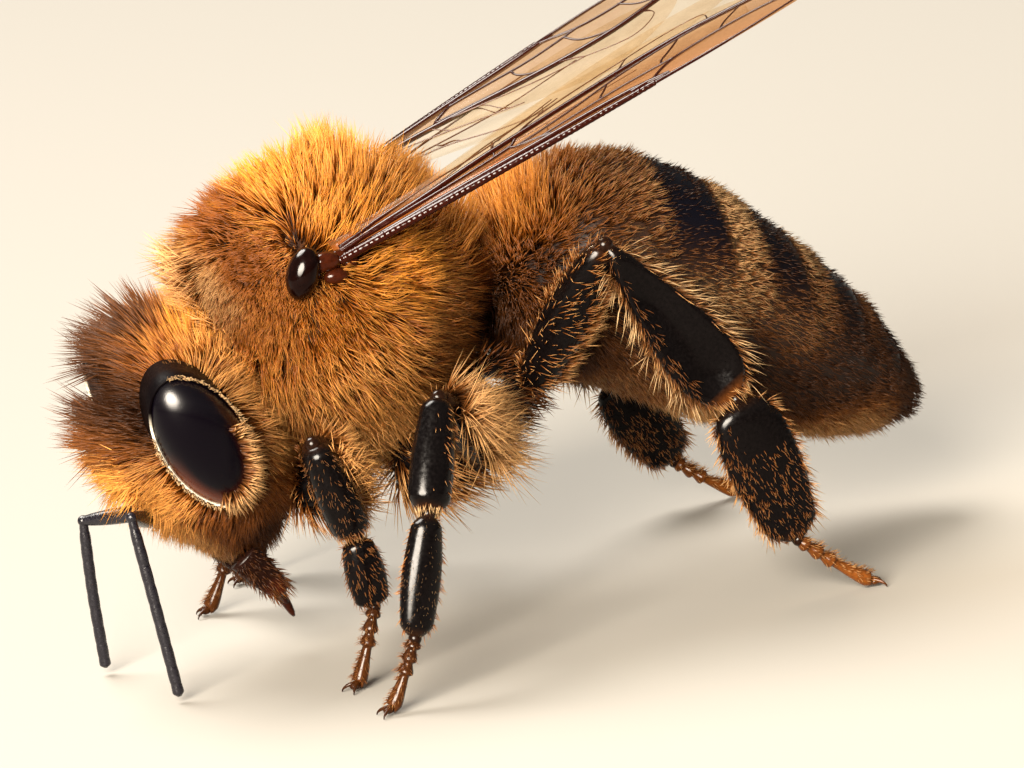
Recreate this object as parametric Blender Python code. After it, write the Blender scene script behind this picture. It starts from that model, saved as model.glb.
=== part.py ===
"""A honey bee worker at life size, standing on its six feet with its head lowered to feed.

The bee faces -X with its left side towards -Y, and the floor is at Z = 0. Every shape is worked out in
millimetres and becomes metres as its mesh is made. The solids include the depth of the coat. Neighbours are
parted by thin cuts.
"""

import math

import bmesh
import bpy
import numpy as np
from mathutils import Vector

METRES = 0.001  # one millimetre in Blender's units
GAP = 0.03  # width of the thin cuts between neighbouring pieces
SHIFT = Vector((-0.063, 0.0, 0.0))  # brings the middle of the whole bee over the origin

# Thorax: an ellipsoid out to the tips of its coat.
THORAX_CENTRE = Vector((-2.50, 0.0, 5.15))
THORAX_RADII = Vector((2.60, 2.15, 2.60))
THORAX_REAR = 0.06  # where the waist parts it from the abdomen

# Head: a loft along its own height, with its face turned forwards and down.
HEAD_CENTRE = Vector((-5.00, 0.0, 4.05))
HEAD_TILT = math.radians(24.2)
HEAD_BACK = -0.76  # plane between head and thorax, measured along the face's direction
EYE_PLANE = 1.36  # half of the distance between the planes that the eyes stand on
EYE_LEAN = math.radians(7.0)  # the eyes draw together towards the mouth
EYE_TURN = math.radians(10.0)  # the eyes look a little forwards
EYE_SIZES = (0.65, 1.20, 0.56)  # half width, half height and bulge
EYE_SPOT = (0.10, 0.10)  # the eye's middle: reach towards the face and height above the head's centre
EYE_DOME = (0.0, 0.3, 0.55, 0.75, 0.9, 0.97)  # shares of the bulge at which the eye's rings lie
EYE_ROUNDNESS = 2.4  # power of the curve that the dome follows: 2 is an ellipse
EYE_SIDES = 20
SOCKET_DEPTH = 1.5  # how far an eye's socket is cut outwards through the coat
HEAD_RINGS, HEAD_SIDES, HEAD_SQUARENESS = 15, 24, 2.2

# Height above the head's centre, half width, reach of the face and reach of the back, all with the coat.
HEAD_STATIONS = (
    (1.92, 0.25, 0.50, 0.05),
    (1.70, 1.00, 0.95, -0.45),
    (1.25, 1.60, 1.25, -0.90),
    (0.50, 1.80, 1.38, -1.00),
    (-0.50, 1.78, 1.32, -1.00),
    (-1.30, 1.55, 1.16, -0.85),
    (-2.00, 1.18, 0.88, -0.55),
    (-2.45, 0.80, 0.62, -0.20),
)

# Abdomen: its back's line, its belly's line and its half width, from the waist to the tip.
ABDOMEN_STATIONS = (
    (0.10, 5.45, 0.10, 4.35, 0.55),
    (0.75, 6.38, 0.50, 3.75, 1.35),
    (1.66, 6.88, 1.20, 3.15, 1.85),
    (2.80, 6.68, 2.20, 2.60, 2.05),
    (3.95, 5.96, 3.30, 2.10, 2.05),
    (5.07, 4.94, 4.30, 1.72, 1.82),
    (6.05, 3.85, 5.20, 1.50, 1.40),
    (6.64, 2.83, 6.00, 1.45, 0.88),
    (6.86, 1.93, 6.66, 1.50, 0.30),
)
# Stations at which one segment gives way to the next. The segments grow shorter towards the tip.
ABDOMEN_JOINTS = (0.0, 2.25, 3.9, 5.0, 6.0, 7.0, 8.0)
STATION_LENGTH = 1.1  # about how far two neighbouring stations are apart
ABDOMEN_RINGS, ABDOMEN_SIDES = 5, 24

# Wings: the forewing's hinge on the left side, how the wings rise and spread to the rear, and how steeply
# they slope down towards the middle. The hind wing lies under the forewing.
WING_HINGE = Vector((-2.70, -1.88, 6.20))
WING_RISE = math.radians(20.0)
WING_SPLAY = math.radians(8.0)
WING_ROLL = math.radians(10.0)
WING_THICKNESS = 0.5
FOREWING_LENGTH, FOREWING_WIDTH = 9.2, 2.68
HINDWING_LENGTH, HINDWING_WIDTH = 6.4, 1.75
HINDWING_STEP = (0.85, 0.10)  # how far the hind wing's hinge lies along and across from the forewing's
TIP_CROWDING = 1.6  # above 1, the wing's rings draw closer together towards the round tip
WING_END = 0.996  # share of its length at which the wing's last ring closes it
WING_ROOT = Vector((-2.05, -1.68, 6.50))  # where the wings come nearest to the thorax

# Legs, left side: the joints from the hip outwards. The hip is a place on the thorax's underside.
LEG_JOINTS = {
    "front": {
        "hip": (-3.15, -0.75),
        "trochanter": (-2.95, -1.28, 2.52),
        "knee": (-3.76, -2.52, 3.98),
        "ankle": (-3.26, -2.50, 2.22),
        "heel": (-3.16, -2.60, 1.15),
        "toe": (-3.52, -2.70, 0.16),
    },
    "mid": {
        "hip": (-1.75, -1.05),
        "trochanter": (-0.95, -1.55, 2.75),
        "knee": (-1.96, -3.30, 4.33),
        "ankle": (-2.58, -4.00, 2.75),
        "heel": (-3.14, -4.30, 1.04),
        "toe": (-3.50, -4.30, 0.16),
    },
    "hind": {
        "hip": (-0.62, -0.95),
        "trochanter": (0.12, -1.50, 3.62),
        "knee": (1.08, -2.85, 5.78),
        "ankle": (2.69, -3.20, 3.20),
        "heel": (3.35, -3.40, 0.95),
        "toe": (4.10, -3.50, 0.16),
    },
}
# How far each joint of a right leg stands from the mirrored left one.
RIGHT_LEG_STEP = {
    "front": {"ankle": (-0.25, 0.15, 0.0), "heel": (-0.45, 0.25, 0.05), "toe": (-0.50, 0.25, 0.0)},
    "mid": {
        "knee": (0.10, 0.0, 0.0),
        "ankle": (0.30, 0.0, 0.0),
        "heel": (0.45, 0.0, 0.0),
        "toe": (0.45, 0.0, 0.0),
    },
    "hind": {
        "knee": (0.02, -0.15, -0.85),
        "ankle": (0.21, -0.30, -0.85),
        "heel": (0.40, -0.40, -0.20),
        "toe": (0.35, -0.60, 0.0),
    },
}
# Half width and half thickness of each segment near its start, at its fullest and near its end.
LEG_FORMS = {
    "coxa": ((0.42, 0.42), (0.45, 0.45), (0.30, 0.30)),
    "femur": ((0.27, 0.27), (0.36, 0.34), (0.27, 0.27)),
    "tibia": ((0.25, 0.25), (0.36, 0.30), (0.30, 0.27)),
    "basitarsus": ((0.27, 0.25), (0.34, 0.27), (0.26, 0.25)),
    "foot": ((0.25, 0.25), (0.26, 0.25), (0.27, 0.27)),
}
HIND_FORMS = {
    "femur": ((0.29, 0.29), (0.42, 0.38), (0.28, 0.28)),
    "tibia": ((0.28, 0.26), (0.60, 0.27), (0.56, 0.26)),
    "basitarsus": ((0.50, 0.26), (0.58, 0.27), (0.34, 0.26)),
}

# Places of a limb's rings: 0 to 1 is the segment itself, and what lies beyond is a round end.
LIMB_PLACES = (-0.97, -0.6, 0.0, 0.25, 0.5, 0.75, 1.0, 1.6, 1.97)
LIMB_SIDES = 8
LIMB_NUDGE = 0.02  # the limb's direction at a place is read this far before and after it

# Feelers, left side.
SCAPE_ENDS = (Vector((-5.62, -0.38, 2.72)), Vector((-6.20, -1.05, 2.88)))
FLAGELLUM_POINTS = (Vector((-6.20, -1.05, 2.88)), Vector((-6.15, -1.16, 1.60)), Vector((-5.98, -1.24, 0.30)))
RIGHT_SCAPE_END = Vector((-6.42, 0.92, 2.44))
RIGHT_FLAGELLUM = (RIGHT_SCAPE_END, Vector((-6.50, 1.00, 1.40)), Vector((-6.42, 1.05, 0.32)))
SCAPE_ROOT_PLANE = 1.26  # plane that parts the feelers from the face's coat

# Mouth.
MANDIBLE_ENDS = (Vector((-4.40, -0.58, 1.75)), Vector((-4.00, -0.55, 1.12)))
PROBOSCIS_POINTS = (Vector((-4.15, 0.0, 1.75)), Vector((-3.88, 0.0, 1.10)), Vector((-3.58, 0.0, 0.35)))
MOUTH_PLANE = -2.45  # height of the plane that parts the mouthparts from the head

TEGULA_CENTRE = Vector((-3.30, -1.86, 6.28))
TEGULA_RADII = Vector((0.46, 0.34, 0.36))


def clear_scene():
    for old in list(bpy.data.objects):
        bpy.data.objects.remove(old)


def make_material(name, colour, roughness, alpha=1.0):
    made = bpy.data.materials.new(name)
    made.use_nodes = True
    shader = made.node_tree.nodes["Principled BSDF"]
    shader.inputs["Base Color"].default_value = (*colour, 1.0)
    shader.inputs["Roughness"].default_value = roughness
    shader.inputs["Metallic"].default_value = 0.0
    shader.inputs["Alpha"].default_value = alpha
    return made


def add_part(name, bm, material):
    """Turns a bmesh in millimetres into one named object in metres, with its faces outwards."""
    bmesh.ops.recalc_face_normals(bm, faces=bm.faces)
    if bm.calc_volume(signed=True) < 0:
        bmesh.ops.reverse_faces(bm, faces=bm.faces)
    mesh = bpy.data.meshes.new(name)
    for vertex in bm.verts:
        vertex.co = (vertex.co + SHIFT) * METRES
    bm.to_mesh(mesh)
    bm.free()
    mesh.materials.append(material)
    mesh.shade_smooth()
    mesh.set_sharp_from_angle(angle=math.radians(50))
    made = bpy.data.objects.new(name, mesh)
    bpy.context.scene.collection.objects.link(made)
    return made


def carve(target, name, bm, material):
    """Takes the shape in bm away from target. The cutter stays in the scene as an unrendered wire shape."""
    cutter = add_part(name, bm, material)
    cutter.hide_render = True
    cutter.display_type = "WIRE"
    cutting = target.modifiers.new(name, "BOOLEAN")
    cutting.operation = "DIFFERENCE"
    cutting.solver = "EXACT"
    cutting.object = cutter


def mirrored(point):
    return Vector((point[0], -point[1], point[2]))


def between(rows, place):
    """Row of numbers at a fractional place among rows, on a smooth curve that passes through all of them."""
    table = np.array(rows, float)
    i = int(min(max(math.floor(place), 0), len(table) - 2))
    t = place - i
    before, start, end, after = (table[min(max(k, 0), len(table) - 1)] for k in (i - 1, i, i + 1, i + 2))
    slope_in, slope_out = (end - before) / 2, (after - start) / 2
    a, b = 2 * t**3 - 3 * t**2 + 1, t**3 - 2 * t**2 + t
    return a * start + b * slope_in + (1 - a) * end + (t**3 - t**2) * slope_out


def ring(centre, across, up, half_width, half_height, sides, power=2.0):
    """Points of a superellipse round centre, in the plane of across and up."""
    points = []
    for k in range(sides):
        angle = math.tau * (k + 0.5) / sides
        c, s = math.cos(angle), math.sin(angle)
        x = math.copysign(abs(c) ** (2 / power), c) * half_width
        y = math.copysign(abs(s) ** (2 / power), s) * half_height
        points.append(centre + across * x + up * y)
    return points


def loft(rings):
    """A closed bmesh through rings of equally many points, with a flat cap at each end."""
    bm = bmesh.new()
    rows = [[bm.verts.new(p) for p in points] for points in rings]
    for lower, upper in zip(rows, rows[1:]):
        for k in range(len(lower)):
            n = (k + 1) % len(lower)
            bm.faces.new((lower[k], lower[n], upper[n], upper[k]))
    bm.faces.new(rows[0])
    bm.faces.new(rows[-1])
    return bm


def cut(bm, point, normal):
    """Takes away what lies beyond the plane through point, on normal's side, and closes the cut."""
    whole = [*bm.verts, *bm.edges, *bm.faces]
    found = bmesh.ops.bisect_plane(
        bm, geom=whole, dist=1e-5, plane_co=point, plane_no=normal, clear_outer=True
    )
    edges = [e for e in found["geom_cut"] if isinstance(e, bmesh.types.BMEdge)]
    if edges:
        bmesh.ops.edgeloop_fill(bm, edges=edges)
    return bm


def ellipsoid(centre, radii, across=24, along=14):
    bm = bmesh.new()
    bmesh.ops.create_uvsphere(bm, u_segments=across, v_segments=along, radius=1.0)
    for vertex in bm.verts:
        vertex.co = Vector((vertex.co.x * radii.x, vertex.co.y * radii.y, vertex.co.z * radii.z)) + centre
    return bm


def thorax_normal(point):
    """Outward direction of the thorax's surface through a point near it."""
    rel = point - THORAX_CENTRE
    return Vector(rel[k] / THORAX_RADII[k] ** 2 for k in range(3)).normalized()


def on_thorax(point):
    """The point of the thorax's surface on the line from its centre to point."""
    rel = point - THORAX_CENTRE
    size = math.sqrt(sum((rel[k] / THORAX_RADII[k]) ** 2 for k in range(3)))
    return THORAX_CENTRE + rel / size


def clear_of_thorax(bm, point):
    """Cuts a piece along the plane that touches the thorax at point, a thin cut away from it."""
    spot = on_thorax(point)
    normal = thorax_normal(spot)
    return cut(bm, spot + normal * GAP, -normal)


def head_place(face, side, height):
    """A point given along the face's direction, sideways and along the head's height."""
    forwards = Vector((-math.cos(HEAD_TILT), 0.0, -math.sin(HEAD_TILT)))
    upwards = Vector((-math.sin(HEAD_TILT), 0.0, math.cos(HEAD_TILT)))
    return HEAD_CENTRE + forwards * face + upwards * height + Vector((0.0, side, 0.0))


def head_direction(face, side, height):
    return head_place(face, side, height) - HEAD_CENTRE


def build_thorax(material):
    bm = ellipsoid(THORAX_CENTRE, THORAX_RADII, 28, 18)
    cut(bm, head_place(HEAD_BACK - GAP, 0, 0), head_direction(1, 0, 0))
    cut(bm, Vector((THORAX_REAR, 0.0, 0.0)), Vector((1.0, 0.0, 0.0)))
    add_part("thorax", bm, material)


def eye_frame(side):
    """Middle of an eye's base, with its directions to the face, up the head and out of the head."""
    flat = side * math.cos(EYE_TURN) * math.cos(EYE_LEAN)
    out = head_direction(math.sin(EYE_TURN), flat, -math.sin(EYE_LEAN)).normalized()
    up = head_direction(0, 0, 1)
    up = (up - out * up.dot(out)).normalized()
    return head_place(EYE_SPOT[0], side * EYE_PLANE, EYE_SPOT[1]), out.cross(up), up, out


def build_head(coat, eye):
    """The head's loft, with an oval socket on each side and a domed eye in it."""
    rings = []
    forwards, sideways = head_direction(1, 0, 0), Vector((0, 1, 0))
    for place in np.linspace(0, len(HEAD_STATIONS) - 1, HEAD_RINGS):
        height, half_width, face, back = between(HEAD_STATIONS, place)
        centre = head_place((face + back) / 2, 0, height)
        half_depth = (face - back) / 2
        rings.append(ring(centre, sideways, forwards, half_width, half_depth, HEAD_SIDES, HEAD_SQUARENESS))
    head = add_part("head", cut(loft(rings), head_place(HEAD_BACK, 0, 0), -forwards), coat)
    width, height, bulge = EYE_SIZES
    for side, name in ((-1, "left"), (1, "right")):
        base, ahead, up, out = eye_frame(side)
        wide, high = width + GAP, height + GAP
        socket = [ring(base + out * reach, ahead, up, wide, high, EYE_SIDES) for reach in (0.0, SOCKET_DEPTH)]
        carve(head, name + "_eye_socket", loft(socket), coat)
        rings = []
        for t in EYE_DOME:
            share = (1 - t**EYE_ROUNDNESS) ** (1 / EYE_ROUNDNESS)
            middle = base + out * (GAP + bulge * t)
            rings.append(ring(middle, ahead, up, width * share, height * share, EYE_SIDES))
        add_part(name + "_compound_eye", loft(rings), eye)


def abdomen_ring(place):
    top_x, top_z, low_x, low_z, half_width = between(ABDOMEN_STATIONS, place)
    top, low = Vector((top_x, 0.0, top_z)), Vector((low_x, 0.0, low_z))
    up = (top - low).normalized()
    half_height = (top - low).length / 2
    return ring((top + low) / 2, Vector((0, 1, 0)), up, half_width, half_height, ABDOMEN_SIDES)


def build_abdomen(material):
    """Six segments, each a loft between two of the abdomen's joints."""
    inset = GAP / STATION_LENGTH / 2
    for number, (start, end) in enumerate(zip(ABDOMEN_JOINTS, ABDOMEN_JOINTS[1:]), 1):
        places = np.linspace(start + inset, end - inset, ABDOMEN_RINGS)
        add_part(f"abdomen_segment_{number}", loft([abdomen_ring(p) for p in places]), material)


def limb(points, forms, broad):
    """A round-ended segment through points, broad in one direction, with the half sizes of forms along it."""
    path = [Vector(p) for p in points]
    last = len(path) - 1
    first_form, last_form = forms[0], forms[-1]
    rings = []
    for place in LIMB_PLACES:
        inside = min(max(place, 0.0), 1.0)
        beyond = place - inside  # how far round an end cap
        centre = Vector(between(path, inside * last))
        ahead, behind = min(inside + LIMB_NUDGE, 1.0), max(inside - LIMB_NUDGE, 0.0)
        axis = (Vector(between(path, ahead * last)) - Vector(between(path, behind * last))).normalized()
        width, thickness = between(forms, inside * (len(forms) - 1))
        shrink = math.sqrt(1 - beyond**2)
        cap = min(first_form if beyond < 0 else last_form)
        across = (broad - axis * broad.dot(axis)).normalized()
        centre = centre + axis * beyond * cap
        rings.append(ring(centre, across, axis.cross(across), width * shrink, thickness * shrink, LIMB_SIDES))
    return loft(rings)


def part_at(bm, before, joint, after, keep):
    """Cuts a segment on the plane that halves the bend at joint.

    keep is -1 for the segment before the joint and 1 for the one after it.
    """
    normal = ((joint - before).normalized() + (after - joint).normalized()).normalized()
    cut(bm, joint + normal * keep * GAP / 2, -normal * keep)


def build_leg(side, pair, material):
    """Coxa, femur, tibia, basitarsus and foot of one leg, parted at its joints."""
    left = side == "left"
    joints = {name: Vector(p) for name, p in LEG_JOINTS[pair].items() if name != "hip"}
    x, y = LEG_JOINTS[pair]["hip"]
    share = 1 - ((x - THORAX_CENTRE.x) / THORAX_RADII.x) ** 2 - (y / THORAX_RADII.y) ** 2
    hip = Vector((x, y, THORAX_CENTRE.z - THORAX_RADII.z * math.sqrt(share)))
    if not left:
        hip = mirrored(hip)
        steps = RIGHT_LEG_STEP[pair]
        joints = {name: mirrored(p) + Vector(steps.get(name, (0, 0, 0))) for name, p in joints.items()}
    chain = [hip, *joints.values()]
    outwards = Vector((0, -1 if left else 1, 0))
    names = ("coxa", "femur", "tibia", "basitarsus", "foot")
    for k, name in enumerate(names):
        start, end = chain[k], chain[k + 1]
        forms = HIND_FORMS.get(name, LEG_FORMS[name]) if pair == "hind" else LEG_FORMS[name]
        bm = limb((start, end), forms, outwards.cross(end - start))
        if name == "coxa":
            clear_of_thorax(bm, hip)
        else:
            part_at(bm, chain[k - 1], start, end, 1)
        if name == "foot":
            cut(bm, Vector((0, 0, 0)), Vector((0, 0, -1)))
        else:
            part_at(bm, start, end, chain[k + 2], -1)
        add_part(f"{side}_{pair}_{name}", bm, material)


def build_antenna(side, scape, flagellum, material):
    """The scape, cut off at the face, and the bent whip beyond it."""
    root, elbow = scape
    bm = limb((root, elbow), ((0.26, 0.26), (0.27, 0.27), (0.25, 0.25)), Vector((0, 1, 0)))
    cut(bm, head_place(SCAPE_ROOT_PLANE + GAP, 0, 0), head_direction(-1, 0, 0))
    part_at(bm, root, elbow, flagellum[1], -1)
    add_part(f"{side}_antenna_scape", bm, material)
    bm = limb(flagellum, ((0.25, 0.25), (0.25, 0.25), (0.25, 0.25)), Vector((0, 1, 0)))
    part_at(bm, root, elbow, flagellum[1], 1)
    add_part(f"{side}_antenna_flagellum", bm, material)


def build_mouth(material):
    """The two jaws and the tongue between them, which reaches down towards the floor."""
    for side, turn in (("left", Vector), ("right", mirrored)):
        root, tip = (turn(p) for p in MANDIBLE_ENDS)
        bm = limb((root, tip), ((0.30, 0.25), (0.32, 0.25), (0.26, 0.25)), Vector((-1, 0, 0)))
        cut(bm, head_place(0, 0, MOUTH_PLANE - GAP), head_direction(0, 0, 1))
        add_part(side + "_mandible", bm, material)
    bm = limb(PROBOSCIS_POINTS, ((0.26, 0.25), (0.27, 0.25), (0.25, 0.25)), Vector((0, 1, 0)))
    cut(bm, head_place(0, 0, MOUTH_PLANE - GAP), head_direction(0, 0, 1))
    add_part("proboscis", bm, material)


def wing_frame():
    """Directions of a left wing: along it, across it towards the middle, and off its upper face."""
    flat = math.cos(WING_RISE)
    along = Vector((flat * math.cos(WING_SPLAY), -flat * math.sin(WING_SPLAY), math.sin(WING_RISE)))
    across = Vector((0, math.cos(WING_ROLL), -math.sin(WING_ROLL)))
    across = (across - along * across.dot(along)).normalized()
    return along, across, along.cross(across).normalized()


def forewing_edges(s):
    """Places of the leading and the trailing edge, at a share s of the forewing's length, in wing widths."""
    tip = math.sqrt(max(1 - max((s - 0.62) / 0.38, 0.0) ** 2.4, 0.0))
    lead = -0.06 * math.sin(math.pi * s) + 0.36 * (1 - tip)
    trail = 0.10 + 0.92 * (0.5 - 0.5 * math.cos(math.pi * min(s / 0.72, 1.0))) ** 1.15
    return lead, 0.36 + (trail - 0.36) * tip if s > 0.62 else trail


def hindwing_edges(s):
    tip = math.sqrt(max(1 - max((s - 0.55) / 0.45, 0.0) ** 2.2, 0.0))
    lead = -0.05 * math.sin(math.pi * s) + 0.35 * (1 - tip)
    trail = 0.14 + 0.86 * (0.5 - 0.5 * math.cos(math.pi * min(s / 0.55, 1.0)))
    return lead, 0.35 + (trail - 0.35) * tip if s > 0.55 else trail


def wing(step, length, width, edges, steps=18):
    """A plate of even thickness between its two edges, with its hinge a step from the forewing's."""
    along, across, off = wing_frame()
    origin = WING_HINGE + along * step[0] + across * step[1] + off * step[2]
    rings = []
    for k in range(steps + 1):
        s = min(1 - (1 - k / steps) ** TIP_CROWDING, WING_END)
        lead, trail = (e * width for e in edges(s))
        centre = origin + along * (s * length)
        half = off * WING_THICKNESS / 2
        middle = (lead + trail) / 2
        rings.append([centre + across * c + half * h for c, h in
                      ((lead, 1), (middle, 1), (trail, 1), (trail, -1), (middle, -1), (lead, -1))])
    return loft(rings)


def build_wings(material, chitin):
    """Both wings of each side, cut off at the thorax, and the scale in front of each forewing's hinge."""
    under = (*HINDWING_STEP, -WING_THICKNESS - GAP)
    for side, turn in (("left", 1), ("right", -1)):
        for name, bm in (
            ("forewing", wing((0, 0, 0), FOREWING_LENGTH, FOREWING_WIDTH, forewing_edges)),
            ("hindwing", wing(under, HINDWING_LENGTH, HINDWING_WIDTH, hindwing_edges)),
        ):
            clear_of_thorax(bm, WING_ROOT)
            for vertex in bm.verts:
                vertex.co.y *= turn
            add_part(f"{side}_{name}", bm, material)
        centre = Vector((TEGULA_CENTRE.x, TEGULA_CENTRE.y * turn, TEGULA_CENTRE.z))
        bm = clear_of_thorax(ellipsoid(centre, TEGULA_RADII, 12, 8), centre)
        add_part(side + "_tegula", bm, chitin)


def main():
    clear_scene()
    coat = make_material("golden_coat", (0.45, 0.20, 0.05), 0.8)
    bands = make_material("banded_abdomen", (0.14, 0.07, 0.03), 0.6)
    eye = make_material("eye_black", (0.01, 0.008, 0.01), 0.12)
    chitin = make_material("dark_chitin", (0.03, 0.018, 0.012), 0.3)
    amber = make_material("mouthpart_amber", (0.20, 0.08, 0.03), 0.4)
    membrane = make_material("wing_membrane", (0.45, 0.28, 0.14), 0.25, alpha=0.5)
    build_thorax(coat)
    build_head(coat, eye)
    build_abdomen(bands)
    for pair in LEG_JOINTS:
        for side in ("left", "right"):
            build_leg(side, pair, chitin)
    build_antenna("left", SCAPE_ENDS, FLAGELLUM_POINTS, chitin)
    build_antenna("right", (mirrored(SCAPE_ENDS[0]), RIGHT_SCAPE_END), RIGHT_FLAGELLUM, chitin)
    build_mouth(amber)
    build_wings(membrane, chitin)


main()
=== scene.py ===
"""The looks of a life-size honey bee worker: skin, coat, eyes, feelers, mouth, wings and legs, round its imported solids.

Lengths are in millimetres and become metres as a mesh is made. The bee faces -X with its left side towards -Y, and
the floor is at Z = 0. Each piece is a surface worked out over a grid of two parameters, or many hairs at once.
"""

import math

import bpy
import numpy as np
from mathutils import Matrix, Vector


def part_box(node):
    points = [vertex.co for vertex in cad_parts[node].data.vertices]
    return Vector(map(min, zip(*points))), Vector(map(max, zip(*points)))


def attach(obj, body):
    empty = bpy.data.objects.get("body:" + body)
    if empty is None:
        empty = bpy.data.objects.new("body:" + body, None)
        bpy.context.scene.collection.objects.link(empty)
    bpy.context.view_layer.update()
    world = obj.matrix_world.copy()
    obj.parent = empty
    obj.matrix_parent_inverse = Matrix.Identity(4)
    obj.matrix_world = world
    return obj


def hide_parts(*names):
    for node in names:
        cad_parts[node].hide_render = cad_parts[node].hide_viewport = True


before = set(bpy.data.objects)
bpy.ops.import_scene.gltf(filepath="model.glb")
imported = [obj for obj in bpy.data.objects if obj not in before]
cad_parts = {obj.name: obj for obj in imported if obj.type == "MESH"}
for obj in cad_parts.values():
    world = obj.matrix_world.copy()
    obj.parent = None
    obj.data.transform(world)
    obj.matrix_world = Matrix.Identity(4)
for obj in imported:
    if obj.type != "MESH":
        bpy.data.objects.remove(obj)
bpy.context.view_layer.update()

bl_info = {
    "name": "Honey Bee",
    "version": (1, 0, 0),
    "blender": (4, 5, 0),
    "location": "3D View > Sidebar > Bee",
    "description": "Builds the skin, coat, eyes, wings and legs of a honey bee round its solids",
    "category": "Object",
}

MM = 0.001  # one millimetre in Blender's units
SIDES = (("left", -1.0), ("right", 1.0))
LEG_PAIRS = ("front", "mid", "hind")
SEGMENTS = ("coxa", "femur", "tibia", "basitarsus", "foot")

# ---------------------------------------------------------------------------------------------------------------
# Sizes of the skin, without the coat
# ---------------------------------------------------------------------------------------------------------------

# Centre x and z, lean of the section's height forwards in degrees, half width, reach up and reach down.
# The rows run from the face to the waist. The skin is drawn together to a point before the first.
FRONT_SECTIONS = (
    (-5.63, 3.12, 24.2, 0.08, 0.10, 0.10),
    (-5.59, 3.13, 24.2, 0.50, 0.46, 0.48),
    (-5.46, 3.08, 24.2, 0.84, 0.88, 0.92),
    (-5.29, 3.09, 24.2, 1.08, 1.18, 1.24),
    (-5.08, 3.16, 24.2, 1.24, 1.44, 1.50),
    (-4.84, 3.32, 24.2, 1.36, 1.74, 1.66),
    (-4.59, 3.54, 24.2, 1.38, 1.74, 1.64),
    (-4.38, 3.81, 24.2, 1.26, 1.46, 1.42),
    (-4.25, 4.14, 24.2, 0.96, 1.00, 1.02),
    (-4.19, 4.42, 24.2, 0.58, 0.56, 0.58),
    (-4.12, 4.62, 22.0, 0.72, 0.80, 0.75),
    (-4.00, 4.82, 19.0, 1.20, 1.42, 1.25),
    (-3.62, 4.98, 13.0, 1.68, 1.74, 1.72),
    (-3.00, 5.08, 7.0, 1.88, 1.96, 1.95),
    (-2.30, 5.10, 1.0, 1.88, 2.06, 2.00),
    (-1.75, 5.06, -4.0, 1.76, 1.76, 1.90),
    (-1.28, 4.98, -8.0, 1.48, 1.24, 1.62),
    (-0.82, 4.90, -10.0, 1.08, 0.84, 1.20),
    (-0.46, 4.86, -12.0, 0.64, 0.56, 0.75),
    (-0.26, 4.84, -12.0, 0.42, 0.42, 0.48),
    (-0.10, 4.84, -12.0, 0.34, 0.36, 0.38),
)
# The abdomen's back line and belly line (x and z of each) and half width, at the stations from waist to tip.
ABDOMEN_STATIONS = (
    (0.06, 5.22, 0.06, 4.48, 0.40),
    (0.66, 6.00, 0.46, 3.98, 1.10),
    (1.56, 6.56, 1.18, 3.38, 1.62),
    (2.68, 6.40, 2.22, 2.84, 1.84),
    (3.78, 5.72, 3.30, 2.34, 1.84),
    (4.84, 4.74, 4.30, 1.94, 1.62),
    (5.78, 3.70, 5.18, 1.70, 1.22),
    (6.36, 2.74, 5.92, 1.62, 0.74),
    (6.62, 1.96, 6.46, 1.62, 0.22),
)
# Stations at which one plate of the abdomen slides over the next.
TERGITE_EDGES = (0.0, 2.1, 3.75, 4.9, 5.92, 7.0, 8.0)
TERGITE_STEP = 0.045  # how much farther a plate stands out at its rear edge than at its front edge
# Local swellings of the skin: place with its distance from the middle, size, and height.
SWELLINGS = (
    ((-1.50, 0.0, 6.50), 0.45, 0.14),  # scutellum, the lobe behind the back's plate
    ((-5.05, 0.0, 2.10), 0.50, 0.08),  # clypeus
    ((-3.20, 1.75, 4.70), 0.80, 0.10),  # side plate above the mid leg
    ((-3.95, 0.95, 6.00), 0.60, 0.08),  # shoulder of the back's plate
)

EYE_BULGE = 2.4  # height of an eye's dome in half thicknesses of its solid
EYE_SHIFT = (0.05, 0.05, -0.12)  # of an eye from the middle of its solid, with the second value outwards
OCELLI = ((-5.78, 0.0, 4.44), (-5.74, -0.34, 4.74), (-5.74, 0.34, 4.74))  # middles of the three small eyes
OCELLUS_RADIUS = 0.13
OCELLUS_CLEARING = 0.24  # bare skin round a small eye
EYE_LINE = 0.24  # height over the dome's base of the raised line round an eye
EYE_WALL = 0.20  # height over the dome's base up to which an eye is a dull wall
EYE_DEPTH = 0.45  # how far an eye reaches into the head
RIM_BRISTLES = 900
COMB_BRISTLES = 150
BRISTLE_TURN = math.radians(430)  # an angle beyond every bristle's, so that none lies off the map

JAW_SHAPE = ((0.0, 0.80), (0.4, 0.74), (0.75, 0.62), (0.93, 0.42), (1.0, 0.12))  # share along it, half width
JAW_HAIRS = 420
# Of each tube of the tongue: which side it bows to, radius, and by how many half lengths of its solid it is longer
# than one.
TONGUE_TUBES = ((0.0, 0.095, 0.66), (-1.0, 0.090, 0.40), (1.0, 0.090, 0.40))

# ---------------------------------------------------------------------------------------------------------------
# The coat: how the hair grows at named places, with smooth changes between them
# ---------------------------------------------------------------------------------------------------------------

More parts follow.
